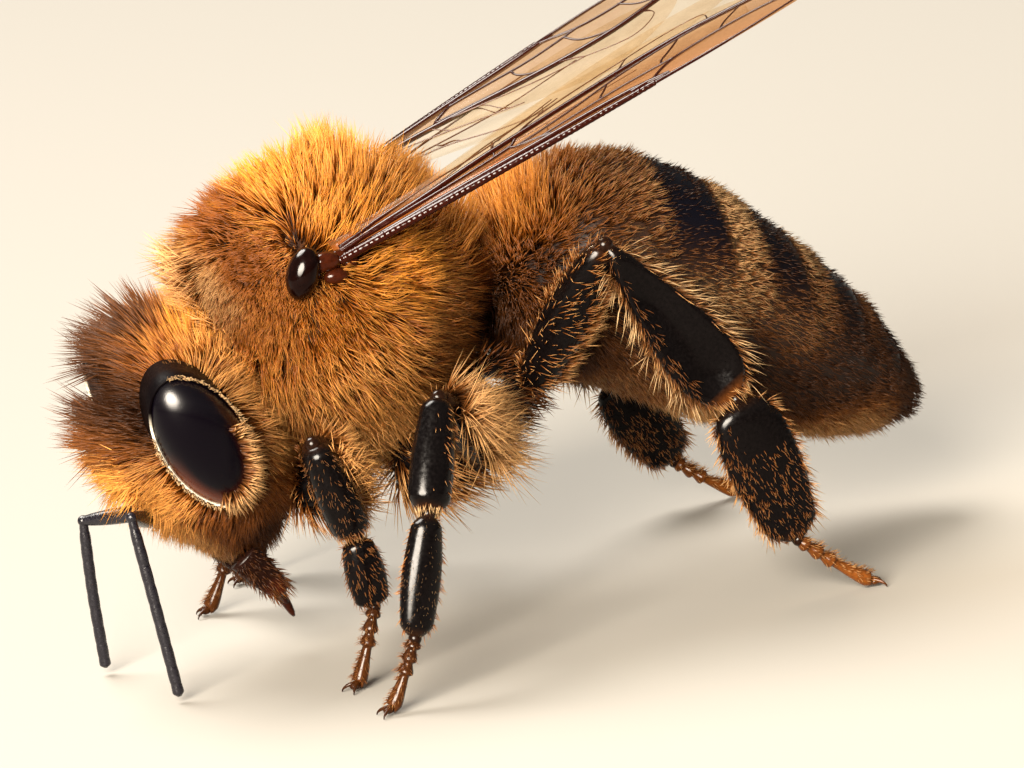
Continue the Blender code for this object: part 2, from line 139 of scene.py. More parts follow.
# Place (x, distance from the middle, z), combing direction (x, outwards, z), length, lean in degrees from upright,
# shade (0 black-brown, 1 pale), warmth (0 tan, 1 orange), density (1 is full).
COAT_PLACES = {
    "vertex": ((-5.40, 0.10, 5.00), (-0.9, 0.0, 0.5), 1.16, 20, 0.13, 0.35, 1.3),
    "vertex_side": ((-5.15, 0.80, 5.00), (-0.5, 0.2, 0.8), 0.66, 16, 0.44, 0.85, 1.2),
    "crown": ((-5.66, 0.10, 4.58), (-0.8, 0.0, 0.5), 1.15, 14, 0.07, 0.35, 1.4),
    "occiput": ((-4.85, 0.50, 5.10), (-0.4, 0.1, 0.6), 0.74, 16, 0.62, 1.00, 1.1),
    "frons": ((-5.86, 0.10, 4.15), (-1.0, 0.0, 0.3), 1.10, 14, 0.10, 0.35, 1.3),
    "frons_low": ((-5.85, 0.15, 3.75), (-1.0, 0.1, 0.0), 1.04, 18, 0.24, 0.60, 1.2),
    "face": ((-5.70, 0.30, 3.30), (-0.9, 0.1, -0.3), 0.86, 25, 0.92, 0.90, 1.3),
    "face_low": ((-5.50, 0.30, 2.85), (-0.7, 0.2, -0.6), 0.54, 35, 0.95, 0.75, 1.2),
    "eye_front": ((-5.66, 0.90, 4.20), (-1.0, 0.0, 0.3), 0.22, 44, 0.02, 0.30, 0.8),
    "brow": ((-5.74, 0.28, 4.46), (-1.0, -0.1, 0.2), 0.62, 24, 0.05, 0.30, 1.1),
    "eye_front_low": ((-5.45, 1.00, 3.20), (-0.9, 0.3, -0.4), 0.48, 35, 0.80, 0.80, 1.1),
    "cheek": ((-4.72, 1.10, 2.56), (-0.3, 0.4, -0.9), 0.40, 45, 0.26, 0.70, 1.1),
    "clypeus": ((-5.08, 0.35, 2.18), (-0.3, 0.1, -1.0), 0.26, 50, 0.72, 0.55, 1.1),
    "muzzle": ((-4.58, 0.35, 1.80), (0.0, 0.1, -1.0), 0.28, 45, 0.50, 0.40, 1.0),
    "jaw_hinge": ((-4.25, 0.70, 2.25), (0.3, 0.2, -1.0), 0.28, 45, 0.08, 0.60, 0.9),
    "gena": ((-4.55, 1.20, 4.55), (0.8, 0.3, 0.4), 0.62, 46, 1.00, 0.65, 1.1),
    "gena_mid": ((-4.25, 1.15, 3.95), (0.9, 0.3, -0.2), 0.60, 48, 0.84, 0.60, 1.1),
    "gena_low": ((-4.12, 1.00, 3.16), (0.6, 0.2, -0.8), 0.45, 45, 0.32, 0.70, 1.0),
    "collar": ((-4.12, 0.45, 5.30), (-0.8, 0.1, 0.4), 0.72, 30, 0.78, 0.70, 1.2),
    "collar_side": ((-4.05, 1.25, 5.05), (0.2, 0.3, -0.7), 0.46, 50, 0.58, 0.90, 1.1),
    "shoulder": ((-4.28, 0.02, 6.05), (-0.8, 0.1, 0.4), 0.80, 25, 0.70, 0.40, 1.2),
    "nape": ((-4.27, 0.04, 5.66), (-0.8, 0.1, 0.5), 0.66, 26, 0.64, 0.60, 1.5),
    "worn_patch": ((-4.30, 0.66, 5.92), (-0.3, 0.2, -0.9), 0.17, 62, 0.58, 0.30, 1.6),
    "worn_mid": ((-4.24, 1.02, 5.72), (-0.3, 0.2, -0.9), 0.17, 64, 0.54, 0.40, 1.6),
    "worn_low": ((-4.10, 1.25, 5.35), (-0.1, 0.2, -1.0), 0.19, 62, 0.44, 0.80, 1.6),
    "worn_rear": ((-3.72, 1.48, 5.85), (-0.2, 0.2, -0.6), 0.22, 58, 0.44, 0.85, 1.8),
    "worn_top": ((-3.86, 1.05, 6.20), (-0.5, 0.2, 0.2), 0.22, 52, 0.25, 0.85, 1.4),
    "back_front": ((-3.65, 0.26, 6.60), (-0.6, 0.1, 0.5), 0.58, 22, 0.30, 0.95, 1.2),
    "back_mid": ((-3.00, 0.30, 6.95), (-0.3, 0.1, 0.9), 0.62, 14, 0.82, 1.00, 1.2),
    "back_rear": ((-2.20, 0.24, 7.05), (0.1, 0.1, 1.0), 0.80, 10, 0.94, 0.92, 1.3),
    "back_side": ((-2.60, 1.40, 6.60), (0.2, 0.2, 0.6), 0.55, 25, 0.85, 0.95, 1.2),
    "scutellum": ((-1.55, 0.24, 6.45), (0.7, 0.1, 0.7), 0.78, 20, 0.92, 0.85, 1.3),
    "under_wing": ((-2.00, 1.70, 5.85), (0.9, 0.2, 0.0), 0.62, 52, 1.00, 0.95, 1.1),
    "side_top": ((-3.10, 1.80, 5.45), (0.2, 0.2, -1.0), 0.46, 56, 0.54, 0.95, 2.0),
    "side": ((-2.80, 1.90, 4.75), (0.5, 0.3, -0.8), 0.85, 50, 0.84, 0.75, 0.9),
    "side_rear": ((-1.40, 1.55, 4.95), (0.9, 0.3, -0.3), 0.52, 50, 0.52, 0.65, 0.9),
    "side_low": ((-2.70, 1.30, 3.60), (0.4, 0.3, -1.0), 0.80, 46, 1.00, 0.60, 0.9),
    "breast": ((-3.80, 1.05, 3.95), (0.0, 0.3, -1.0), 0.50, 50, 0.48, 0.60, 0.9),
    "breast_low": ((-2.30, 0.40, 3.10), (0.4, 0.1, -1.0), 0.60, 28, 0.95, 0.55, 1.0),
    # The waist rows grow near-black hair as painted shade for the recess between thorax and abdomen; the second, long
    # and dense, fills the gap so that the floor does not show through it.
    "waist": ((-0.45, 0.70, 4.75), (0.9, 0.3, 0.0), 0.34, 40, 0.02, 0.30, 1.0),
    "waist_gap_shade_fill": ((-0.30, 0.20, 4.40), (0.3, 0.3, -0.9), 0.62, 30, 0.03, 0.30, 2.0),
    "waist_top": ((-0.75, 0.40, 5.60), (0.6, 0.1, 0.7), 0.98, 24, 0.70, 0.95, 1.3),
    "first_back": ((0.55, 0.50, 5.95), (0.5, 0.1, 0.8), 0.80, 30, 0.66, 0.95, 1.3),
    "first_side": ((0.55, 1.15, 5.20), (0.9, 0.2, -0.1), 0.42, 50, 0.17, 0.70, 1.3),
    "first_low": ((0.70, 1.10, 4.00), (0.9, 0.2, -0.6), 0.44, 50, 0.06, 0.40, 1.0),
    "second_front": ((1.35, 0.45, 6.45), (0.9, 0.1, 0.3), 0.34, 48, 0.54, 0.60, 0.55),
    "second_front_side": ((1.25, 1.40, 5.40), (1.0, 0.1, -0.1), 0.28, 58, 0.36, 0.45, 0.50),
    "second_back": ((2.00, 0.50, 6.55), (1.0, 0.1, 0.0), 0.24, 52, 0.60, 0.30, 0.42),
    "second_side": ((1.90, 1.60, 5.20), (1.0, 0.1, -0.2), 0.24, 60, 0.58, 0.30, 0.40),
    "second_low": ((1.90, 1.70, 4.10), (1.0, 0.1, -0.4), 0.25, 64, 0.36, 0.30, 0.40),
    "third_back": ((3.20, 0.60, 6.05), (1.0, 0.1, -0.4), 0.20, 64, 0.92, 0.15, 0.75),
    "third_side": ((3.30, 1.75, 4.70), (1.0, 0.1, -0.5), 0.22, 68, 0.84, 0.28, 0.60),
    # third_low, fourth_low, fifth_side and tail_back are near black: the flank's own dark shell with sparse hair,
    # darkened further as painted shade of the lower and rear flank, which faces away from the key light.
    "third_low": ((3.20, 1.60, 3.30), (1.0, 0.1, -0.4), 0.24, 70, 0.10, 0.35, 0.35),
    "fourth_back": ((4.30, 0.50, 5.20), (0.8, 0.1, -0.8), 0.20, 66, 0.88, 0.12, 0.70),
    "fourth_side": ((4.30, 1.50, 3.90), (0.8, 0.1, -0.6), 0.22, 70, 0.54, 0.22, 0.42),
    "fourth_low": ((4.20, 1.35, 2.75), (0.8, 0.1, -0.5), 0.24, 68, 0.14, 0.40, 0.34),
    "fifth_back": ((5.30, 0.40, 4.15), (0.6, 0.1, -0.9), 0.20, 66, 0.52, 0.08, 0.45),
    "fifth_side": ((5.20, 1.20, 3.00), (0.8, 0.1, -0.6), 0.22, 70, 0.12, 0.30, 0.34),
    "tail_back": ((6.20, 0.30, 2.85), (0.5, 0.1, -0.9), 0.20, 60, 0.08, 0.20, 0.45),
    "tail_tip": ((6.50, 0.10, 1.85), (0.9, 0.1, -0.5), 0.22, 45, 0.14, 0.30, 0.55),
    "belly_front": ((1.20, 0.70, 3.30), (0.9, 0.2, -0.5), 0.32, 58, 0.45, 0.25, 0.8),
    "belly": ((3.20, 0.55, 2.30), (0.9, 0.2, -0.4), 0.40, 48, 0.70, 0.45, 1.0),
    "belly_rear": ((5.10, 0.45, 1.75), (0.9, 0.2, -0.3), 0.36, 46, 0.66, 0.45, 1.0),
}
# Each piece of the body's coat: first and last share of the skin's length, side, share of the hairs, distance
# between its locks, slot, and whether it is the second coat, of fine hairs where the skin is worn.
COAT_PIECES = (
    ("left_head_coat", 0.0, 0.325, -1.0, 0.138, 0.13, "golden_coat", False),
    ("right_head_coat", 0.0, 0.325, 1.0, 0.138, 0.13, "golden_coat", False),
    ("left_thorax_coat", 0.325, 0.70, -1.0, 0.15, 0.24, "golden_coat", False),
    ("right_thorax_coat", 0.325, 0.70, 1.0, 0.15, 0.24, "golden_coat", False),
    ("left_front_abdomen_coat", 0.70, 0.84, -1.0, 0.10, 0.12, "abdomen_coat", False),
    ("right_front_abdomen_coat", 0.70, 0.84, 1.0, 0.10, 0.12, "abdomen_coat", False),
    ("left_rear_abdomen_coat", 0.84, 1.0, -1.0, 0.115, 0.10, "abdomen_coat", False),
    ("right_rear_abdomen_coat", 0.84, 1.0, 1.0, 0.115, 0.10, "abdomen_coat", False),
    ("left_worn_coat", 0.325, 0.70, -1.0, 0.07, 0.10, "golden_coat", True),
    ("right_worn_coat", 0.325, 0.70, 1.0, 0.07, 0.10, "golden_coat", True),
)
HAIR_POINTS = 7  # of one hair: a ring of three at its root, another halfway, and its tip

# ---------------------------------------------------------------------------------------------------------------
# Legs, feelers and wings
# ---------------------------------------------------------------------------------------------------------------

# Share along a segment, and its half width and half thickness as shares of the solid's own.
SEGMENT_SHAPES = {
    "coxa": ((0.0, 0.70, 0.70), (0.3, 0.95, 0.95), (0.7, 0.80, 0.80), (1.0, 0.50, 0.50)),
    "femur": ((0.0, 0.45, 0.50), (0.12, 0.72, 0.75), (0.5, 0.92, 0.90), (0.85, 0.70, 0.72), (1.0, 0.52, 0.52)),
    "tibia": ((0.0, 0.56, 0.58), (0.1, 0.72, 0.74), (0.5, 0.92, 0.88), (0.88, 0.88, 0.84), (1.0, 0.52, 0.50)),
    "basitarsus": ((0.0, 0.42, 0.52), (0.1, 0.74, 0.76), (0.5, 0.95, 0.86), (0.9, 0.80, 0.72), (1.0, 0.44, 0.46)),
    "hind_tibia": (
        (0.0, 0.20, 0.60), (0.1, 0.34, 0.80), (0.4, 0.68, 0.95), (0.64, 0.92, 1.00), (0.76, 0.95, 0.94),
        (0.86, 0.86, 0.80), (0.93, 0.66, 0.60), (0.98, 0.38, 0.40), (1.0, 0.20, 0.30),
    ),
    "hind_basitarsus": (
        (0.0, 0.40, 0.50), (0.08, 0.76, 0.78), (0.25, 0.95, 0.82), (0.55, 0.96, 0.78), (0.9, 0.70, 0.62),
        (1.0, 0.36, 0.42),
    ),
}
BASKET_DENT = 0.24  # how far the hind tibia's outer face is hollowed
TARSUS_JOINTS = (0.0, 0.17, 0.33, 0.48, 1.0)  # shares of the foot at which its small segments begin
TARSUS_RADIUS = 0.125
CLAW_LENGTH = 0.26
KNUCKLES = (0.16, 0.13, 0.12, 0.10)  # radius of the joint after each long segment

# Pair, segment, part of its length, share of the leg's hairs, length, lean, shade, warmth, the faces it grows on,
# radius, and how it is swept (x, outwards, z) besides towards the foot.
LEG_COATS = (
    ("front", "coxa", 0.0, 1.0, 0.20, 0.45, 45, 0.62, 0.6, "all", 0.012, (0.3, 0.0, -0.8)),
    ("front", "femur", 0.0, 0.85, 0.24, 0.50, 58, 0.86, 0.6, "rear", 0.011, (0.9, 0.1, -0.6)),
    ("front", "femur", 0.0, 0.90, 0.08, 0.20, 60, 0.40, 0.5, "all", 0.009, (0.6, 0.1, -0.6)),
    ("front", "tibia", 0.08, 0.92, 0.24, 0.09, 66, 0.50, 0.3, "all", 0.006, (0.1, 0.0, 0.0)),
    ("front", "tibia", 0.90, 1.0, 0.05, 0.16, 45, 0.86, 0.4, "all", 0.008, (0.1, 0.0, 0.0)),
    ("front", "basitarsus", 0.0, 0.95, 0.14, 0.11, 55, 0.50, 0.5, "all", 0.007, (0.2, 0.0, 0.0)),
    ("mid", "coxa", 0.0, 1.0, 0.26, 0.60, 45, 0.86, 0.5, "all", 0.012, (0.6, 0.2, -0.6)),
    ("mid", "femur", 0.0, 0.86, 0.44, 0.76, 58, 0.96, 0.4, "rear", 0.011, (1.1, 0.1, -0.7)),
    ("mid", "femur", 0.0, 0.90, 0.08, 0.24, 60, 0.60, 0.5, "all", 0.009, (0.6, 0.1, -0.5)),
    ("mid", "tibia", 0.1, 0.95, 0.04, 0.14, 50, 0.66, 0.5, "rear", 0.008, (0.2, 0.0, 0.0)),
    ("mid", "tibia", 0.93, 1.0, 0.06, 0.15, 60, 1.00, 0.1, "all", 0.012, (0.1, 0.0, 0.0)),
    ("mid", "basitarsus", 0.0, 0.97, 0.30, 0.06, 82, 0.56, 0.0, "all", 0.004, (0.0, 0.0, 0.0)),
    ("mid", "basitarsus", 0.0, 0.97, 0.04, 0.12, 50, 0.76, 0.7, "edges", 0.008, (0.0, 0.0, 0.0)),
    ("hind", "coxa", 0.0, 1.0, 0.22, 0.40, 45, 0.24, 0.6, "all", 0.011, (0.4, 0.2, -0.5)),
    ("hind", "femur", 0.0, 0.97, 0.34, 0.24, 62, 0.62, 0.5, "all", 0.009, (0.3, 0.0, -0.5)),
    ("hind", "femur", 0.05, 0.97, 0.14, 0.32, 50, 0.78, 0.4, "rear", 0.009, (0.5, 0.0, -0.6)),
    ("hind", "tibia", 0.04, 0.90, 0.16, 0.18, 62, 0.44, 0.4, "front", 0.007, (-0.2, 0.3, 0.0)),
    ("hind", "tibia", 0.06, 0.95, 0.07, 0.48, 40, 1.00, 0.05, "edges", 0.009, (-0.2, 0.6, 0.0)),
    ("hind", "tibia", 0.10, 0.97, 0.06, 0.24, 50, 0.90, 0.45, "edges", 0.009, (0.0, 0.3, 0.0)),
    ("hind", "tibia", 0.92, 1.0, 0.05, 0.22, 50, 0.92, 0.4, "all", 0.009, (0.0, 0.0, 0.0)),
    ("hind", "basitarsus", 0.10, 0.97, 0.16, 0.12, 68, 0.46, 0.5, "front", 0.006, (0.0, 0.0, 0.0)),
    ("hind", "basitarsus", 0.36, 0.97, 0.42, 0.11, 70, 0.54, 0.5, "all", 0.007, (0.0, 0.0, 0.0)),
    ("hind", "basitarsus", 0.05, 0.97, 0.09, 0.22, 46, 0.92, 0.4, "edges", 0.009, (0.0, 0.4, 0.0)),
    ("front", "foot", 0.0, 0.97, 0.08, 0.10, 45, 0.50, 0.4, "top", 0.006, (0.0, 0.0, 0.2)),
    ("mid", "foot", 0.0, 0.97, 0.08, 0.10, 45, 0.50, 0.4, "top", 0.006, (0.0, 0.0, 0.2)),
    ("hind", "foot", 0.0, 0.97, 0.10, 0.12, 45, 0.86, 0.4, "top", 0.006, (0.0, 0.0, 0.2)),
)

SCAPE_RADIUS = 0.125
FLAGELLUM_RADIUS = 0.088
FLAGELLUM_SEGMENTS = 10
ANTENNA_ROOT_DEPTH = 0.45  # how far a feeler's root reaches into the face

FOREWING_HINGE = (-2.763, 1.88, 6.20)  # with the second value outwards
HINDWING_SHIFT = (0.85, 0.55)  # from the forewing's hinge, along the wing and across it
WING_LAYER = 0.012  # thickness of a wing's membrane
WING_SAG = 0.035  # how far the membrane waves between its veins
WING_FOLD = 0.45  # share of the chord behind which the foil is thin and pale
# The left forewing's front is denser than the right's by painted shade: the near wing, seen nearly edge-on, looks
# darker than the same foil seen face on.
FOREWING_DENSITY_AND_SHADE = {"left": 0.85, "right": 0.45}  # how dense the forewing's front is
# Off the middle of the wing's solid, at the leading edge, at the fold and at the trailing edge.
WING_LIFT = {"left": (0.02, 0.30, 0.34), "right": (-0.22, -0.06, 0.02)}
SCALE_SHIFT = (0.05, -0.07, -0.13)  # of the wing scale's parts off their solid, with the second value outwards
SCALE_RADII = (0.25, 0.26, 0.40)
SCALE_TILT = ((0.92, 0, -0.39), (0, 1, 0), (0.39, 0, 0.92))  # its own directions
# The plates behind the scale: place (x, outwards, z) and size.
HINGE_PLATES = (
    ((0.34, 0.0, 0.10), 0.19), ((0.56, -0.04, 0.13), 0.13), ((0.46, 0.05, -0.13), 0.15), ((0.72, 0.0, 0.02), 0.10),
)
# Veins: share of the wing's length and share of its chord from the leading edge, with the radius at each end.
FOREWING_VEINS = {
    "costa": ((0.00, 0.03), (0.20, 0.02), (0.40, 0.01), (0.58, 0.01), 0.090, 0.044),
    "radius": ((0.00, 0.07), (0.15, 0.08), (0.35, 0.08), (0.52, 0.07), (0.60, 0.03), 0.060, 0.036),
    "stigma": ((0.54, 0.04), (0.57, 0.05), (0.61, 0.03), 0.050, 0.030),
    "front_rim": ((0.58, 0.01), (0.72, 0.01), (0.86, 0.03), 0.030, 0.016),
    "marginal_cell": ((0.58, 0.05), (0.64, 0.17), (0.74, 0.20), (0.84, 0.14), (0.88, 0.04), 0.024, 0.018),
    "media_stem": ((0.01, 0.22), (0.12, 0.26), (0.24, 0.31), (0.33, 0.36), 0.044, 0.030),
    "basal": ((0.33, 0.36), (0.35, 0.24), (0.40, 0.10), 0.026, 0.022),
    "sector": ((0.38, 0.15), (0.46, 0.18), (0.54, 0.20), (0.64, 0.17), 0.022, 0.018),
    "cubital": ((0.34, 0.30), (0.44, 0.36), (0.54, 0.42), (0.66, 0.44), (0.78, 0.42), 0.022, 0.012),
    "first_cross": ((0.50, 0.19), (0.50, 0.28), (0.52, 0.40), 0.018, 0.016),
    "second_cross": ((0.61, 0.18), (0.62, 0.30), (0.66, 0.43), 0.018, 0.016),
    "third_cross": ((0.72, 0.19), (0.74, 0.32), (0.78, 0.42), 0.016, 0.012),
    "discoidal": ((0.33, 0.36), (0.38, 0.54), (0.48, 0.62), (0.58, 0.62), 0.024, 0.016),
    "first_recurrent": ((0.58, 0.62), (0.56, 0.52), (0.54, 0.42), 0.018, 0.016),
    "second_recurrent": ((0.58, 0.62), (0.66, 0.68), (0.72, 0.60), (0.72, 0.43), 0.016, 0.012),
    "anal": ((0.01, 0.32), (0.12, 0.52), (0.25, 0.72), (0.36, 0.84), (0.44, 0.90), 0.034, 0.016),
    "anal_cross": ((0.30, 0.35), (0.31, 0.55), (0.33, 0.80), 0.020, 0.018),
    "discoidal_cross": ((0.40, 0.56), (0.41, 0.70), (0.42, 0.88), 0.018, 0.014),
    "fold_edge": ((0.01, 0.20), (0.12, 0.34), (0.26, 0.44), (0.45, 0.46), (0.66, 0.46), (0.84, 0.40), 0.054, 0.036),
}
KNOB_SPACING = 0.09  # between the tiny knobs of the front vein
HINDWING_VEINS = {
    "costa": ((0.00, 0.03), (0.25, 0.02), (0.48, 0.01), (0.60, 0.02), 0.034, 0.020),
    "media": ((0.00, 0.16), (0.22, 0.26), (0.46, 0.32), (0.70, 0.34), 0.026, 0.014),
    "cross": ((0.44, 0.01), (0.45, 0.16), (0.46, 0.32), 0.018, 0.016),
    "cubital": ((0.00, 0.26), (0.20, 0.48), (0.38, 0.72), (0.52, 0.86), 0.024, 0.014),
    "cubital_cross": ((0.30, 0.29), (0.31, 0.44), (0.33, 0.64), 0.018, 0.014),
}

CAMERA_TARGET = (0.207, 0.0, 3.35)


class BeeSizes(bpy.types.PropertyGroup):
    """Sizes of the skin and of the coat."""

    rows: bpy.props.IntProperty(
        name="Skin Rows", description="Rings of the skin from face to tail", default=300, min=60
    )
    columns: bpy.props.IntProperty(name="Skin Columns", description="Points of each ring", default=200, min=40)
    body_hairs: bpy.props.IntProperty(
        name="Body Hairs", description="Hairs on head, thorax and abdomen", default=100000, min=0
    )
    leg_hairs: bpy.props.IntProperty(name="Leg Hairs", description="Hairs on each leg", default=2400, min=0)
    hair_radius: bpy.props.FloatProperty(
        name="Hair Radius", description="Radius of a hair at its root", default=0.0150 * MM, unit="LENGTH", precision=6
    )
    lock_pull: bpy.props.FloatProperty(
        name="Lock Pull", description="How far hair tips draw together in locks", default=0.80, min=0.0, max=1.0
    )
    length_scale: bpy.props.FloatProperty(
        name="Hair Length", description="Factor on the length of all hairs", default=1.0, min=0.1, max=2.0
    )


class WingSizes(bpy.types.PropertyGroup):
    """How the wings are held, and their outline."""

    rise: bpy.props.FloatProperty(
        name="Rise", description="Upward slope to the rear", default=math.radians(20), subtype="ANGLE"
    )
    splay: bpy.props.FloatProperty(name="Splay", description="Outward turn", default=math.radians(8), subtype="ANGLE")
    roll: bpy.props.FloatProperty(
        name="Roll", description="Slope down towards the middle", default=math.radians(10), subtype="ANGLE"
    )
    fore_length: bpy.props.FloatProperty(
        name="Forewing Length", description="From hinge to tip", default=9.2 * MM, unit="LENGTH", precision=5
    )
    fore_width: bpy.props.FloatProperty(
        name="Forewing Width", description="Widest chord", default=2.68 * MM, unit="LENGTH", precision=5
    )
    hind_length: bpy.props.FloatProperty(
        name="Hindwing Length", description="From hinge to tip", default=6.4 * MM, unit="LENGTH", precision=5
    )
    hind_width: bpy.props.FloatProperty(
        name="Hindwing Width", description="Widest chord", default=1.75 * MM, unit="LENGTH", precision=5
    )


class BeeColours(bpy.types.PropertyGroup):
    """Colours as sRGB hex values."""

    coat_dark: bpy.props.StringProperty(name="Dark Hair", description="Darkest hair", default="#1C0702")
    coat_brown: bpy.props.StringProperty(
        name="Brown Hair", description="Hair halfway between dark and bright", default="#96500F"
    )
    coat_umber: bpy.props.StringProperty(
        name="Umber Hair", description="Halfway hair where the coat is not warm", default="#6E4A2A"
    )
    coat_tan: bpy.props.StringProperty(name="Tan Hair", description="Pale hair of abdomen and belly", default="#EFCF9C")
    coat_orange: bpy.props.StringProperty(name="Orange Hair", description="Warm hair of the back", default="#F8AA3C")
    cuticle: bpy.props.StringProperty(name="Cuticle", description="Bare shell of the body", default="#120A07")
    worn: bpy.props.StringProperty(
        name="Worn Shell", description="Shell where the hair is rubbed off", default="#2A1409"
    )
    # The bands' near-black has a blue cast: a painted reflection of the light above, on their own dark shell.
    band: bpy.props.StringProperty(name="Bands", description="Rear edges of the abdomen's plates", default="#08080F")
    eye: bpy.props.StringProperty(name="Eye", description="Compound eye", default="#040206")
    chitin: bpy.props.StringProperty(name="Leg Shell", description="Black shell of the legs", default="#070505")
    joint: bpy.props.StringProperty(name="Joint", description="Amber shell of joints and feet", default="#6A3A14")
    mouth: bpy.props.StringProperty(name="Mouthparts", description="Dark red-brown tongue and jaws", default="#180A06")
    membrane: bpy.props.StringProperty(name="Membrane", description="Wing between the veins", default="#824C20")
    vein: bpy.props.StringProperty(name="Veins", description="Veins of the wings", default="#240803")
    floor: bpy.props.StringProperty(name="Floor", description="Stage floor", default="#9A9791")


class StageSizes(bpy.types.PropertyGroup):
    """Camera, floor and lights."""

    azimuth: bpy.props.FloatProperty(
        name="Azimuth", description="Camera's turn round the bee", default=math.radians(-18), subtype="ANGLE"
    )
    elevation: bpy.props.FloatProperty(
        name="Elevation", description="Camera's height above the floor", default=math.radians(14), subtype="ANGLE"
    )
    roll: bpy.props.FloatProperty(
        name="Roll", description="Camera's turn about its own axis", default=math.radians(8), subtype="ANGLE"
    )
    distance: bpy.props.FloatProperty(
        name="Distance", description="From the camera to its target", default=110 * MM, unit="LENGTH"
    )
    view_width: bpy.props.FloatProperty(
        name="View Width", description="Width of the view at the target", default=15.515 * MM, unit="LENGTH",
        precision=5,
    )
    floor_radius: bpy.props.FloatProperty(
        name="Floor Radius", description="Radius of the round floor", default=900 * MM, unit="LENGTH"
    )
    key_power: bpy.props.FloatProperty(
        name="Key Light", description="Power of the main light", default=1.12, unit="POWER"
    )
    top_power: bpy.props.FloatProperty(
        name="Top Light", description="Power of the light above", default=0.80, unit="POWER"
    )
    world_strength: bpy.props.FloatProperty(
        name="Ambient", description="Strength of the even light all round", default=0.10, min=0.0
    )


# ---------------------------------------------------------------------------------------------------------------
# Numbers and surfaces
# ---------------------------------------------------------------------------------------------------------------


def unit(vectors):
    """Vectors of length one in the same directions."""
    return vectors / np.maximum(np.linalg.norm(vectors, axis=-1, keepdims=True), 1e-12)


def dots(a, b):
    """Dot products of vectors, kept as a column."""
    return np.sum(a * b, axis=-1, keepdims=True)


def smooth(low, high, x):
    """0 below low, 1 above high, and 3t^2 - 2t^3 between."""
    t = np.clip((x - low) / (high - low), 0.0, 1.0)
    return t * t * (3 - 2 * t)


def curve_through(rows, places):
    """Rows of numbers at fractional places: on each stretch the cubic with the slopes of its neighbours' chords."""
    table, places = np.asarray(rows, float), np.asarray(places, float)
    last = len(table) - 1
    i = np.clip(np.floor(places).astype(int), 0, last - 1)
    t = (places - i)[:, None]
    before, start, end, after = (table[np.clip(i + k, 0, last)] for k in (-1, 0, 1, 2))
    slope_in, slope_out = (end - before) / 2, (after - start) / 2
    share = 2 * t**3 - 3 * t**2 + 1
    return share * start + (1 - share) * end + (t**3 - 2 * t**2 + t) * slope_in + (t**3 - t**2) * slope_out


def profile(rows, shares):
    """Columns of rows after the first, read smoothly at shares of the first column."""
    table = np.asarray(rows, float)
    places = np.interp(shares, table[:, 0], np.arange(len(table)))
    return curve_through(table[:, 1:], places)


def grid_normals(grid):
    """Outward directions of a surface of rings, from the cross product of its two tangents."""
    along = np.gradient(grid, axis=0)
    around = (np.roll(grid, -1, axis=1) - np.roll(grid, 1, axis=1)) / 2
    normals = unit(np.cross(around, along))
    outwards = grid - grid.mean(axis=1, keepdims=True)
    return normals * np.where(np.sum(normals * outwards) < 0, -1.0, 1.0)


def closed_tube(grid, uv_box=(0.0, 0.0, 1.0, 1.0), material=0, **attributes):
    """A part whose faces join the rings of a grid and draw each end ring together to its middle.

    An attribute is one value, one for each ring, or one for each point.
    """
    rows, cols = grid.shape[:2]
    i, j = (k.ravel() for k in np.meshgrid(np.arange(rows - 1), np.arange(cols), indexing="ij"))
    a, b = i * cols + j, i * cols + (j + 1) % cols
    c, d = b + cols, a + cols
    ring = np.arange(cols)
    after = (ring + 1) % cols
    first, last = np.full(cols, rows * cols), np.full(cols, rows * cols + 1)
    end = (rows - 1) * cols
    faces = np.concatenate([
        np.stack([a, b, c], 1), np.stack([a, c, d], 1),
        np.stack([first, after, ring], 1), np.stack([last, end + ring, end + after], 1),
    ])
    u, v = np.stack([i, i, i + 1, i + 1], 1) / (rows - 1), np.stack([j, j + 1, j + 1, j], 1) / cols
    square = np.stack([u, v], -1)
    low = np.stack([np.zeros((cols, 3)), np.stack([ring + 0.5, ring + 1, ring], 1) / cols], -1)
    high = np.stack([np.ones((cols, 3)), np.stack([ring + 0.5, ring, ring + 1], 1) / cols], -1)
    uv = np.concatenate([square[:, [0, 1, 2]], square[:, [0, 2, 3]], low, high])
    points = np.concatenate([grid.reshape(-1, 3), grid[:1].mean(1), grid[-1:].mean(1)])
    p = points[faces]
    if np.sum(dots(p[:, 0], np.cross(p[:, 1], p[:, 2]))) < 0:
        faces, uv = faces[:, ::-1], uv[:, ::-1]
    u0, v0, u1, v1 = uv_box
    values = {}
    for name, value in attributes.items():
        value = np.asarray(value, float)
        value = np.broadcast_to(value[:, None] if value.ndim == 1 else value, (rows, cols))
        values[name] = np.concatenate([value.ravel(), [value[0].mean()], [value[-1].mean()]])
    return {
        "points": points,
        "faces": faces,
        "uv": uv * (u1 - u0, v1 - v0) + (u0, v0),
        "material": np.full(len(faces), material),
        "attributes": values,
    }


def joined(parts):
    """One part out of many. An attribute that a part lacks is 0 there."""
    sizes = np.cumsum([0] + [len(p["points"]) for p in parts[:-1]])
    names = {name for p in parts for name in p["attributes"]}
    return {
        "points": np.concatenate([p["points"] for p in parts]),
        "faces": np.concatenate([p["faces"] + start for p, start in zip(parts, sizes)]),
        "uv": np.concatenate([p["uv"] for p in parts]),
        "material": np.concatenate([p["material"] for p in parts]),
        "attributes": {
            n: np.concatenate([p["attributes"].get(n, np.zeros(len(p["points"]))) for p in parts]) for n in names
        },
    }


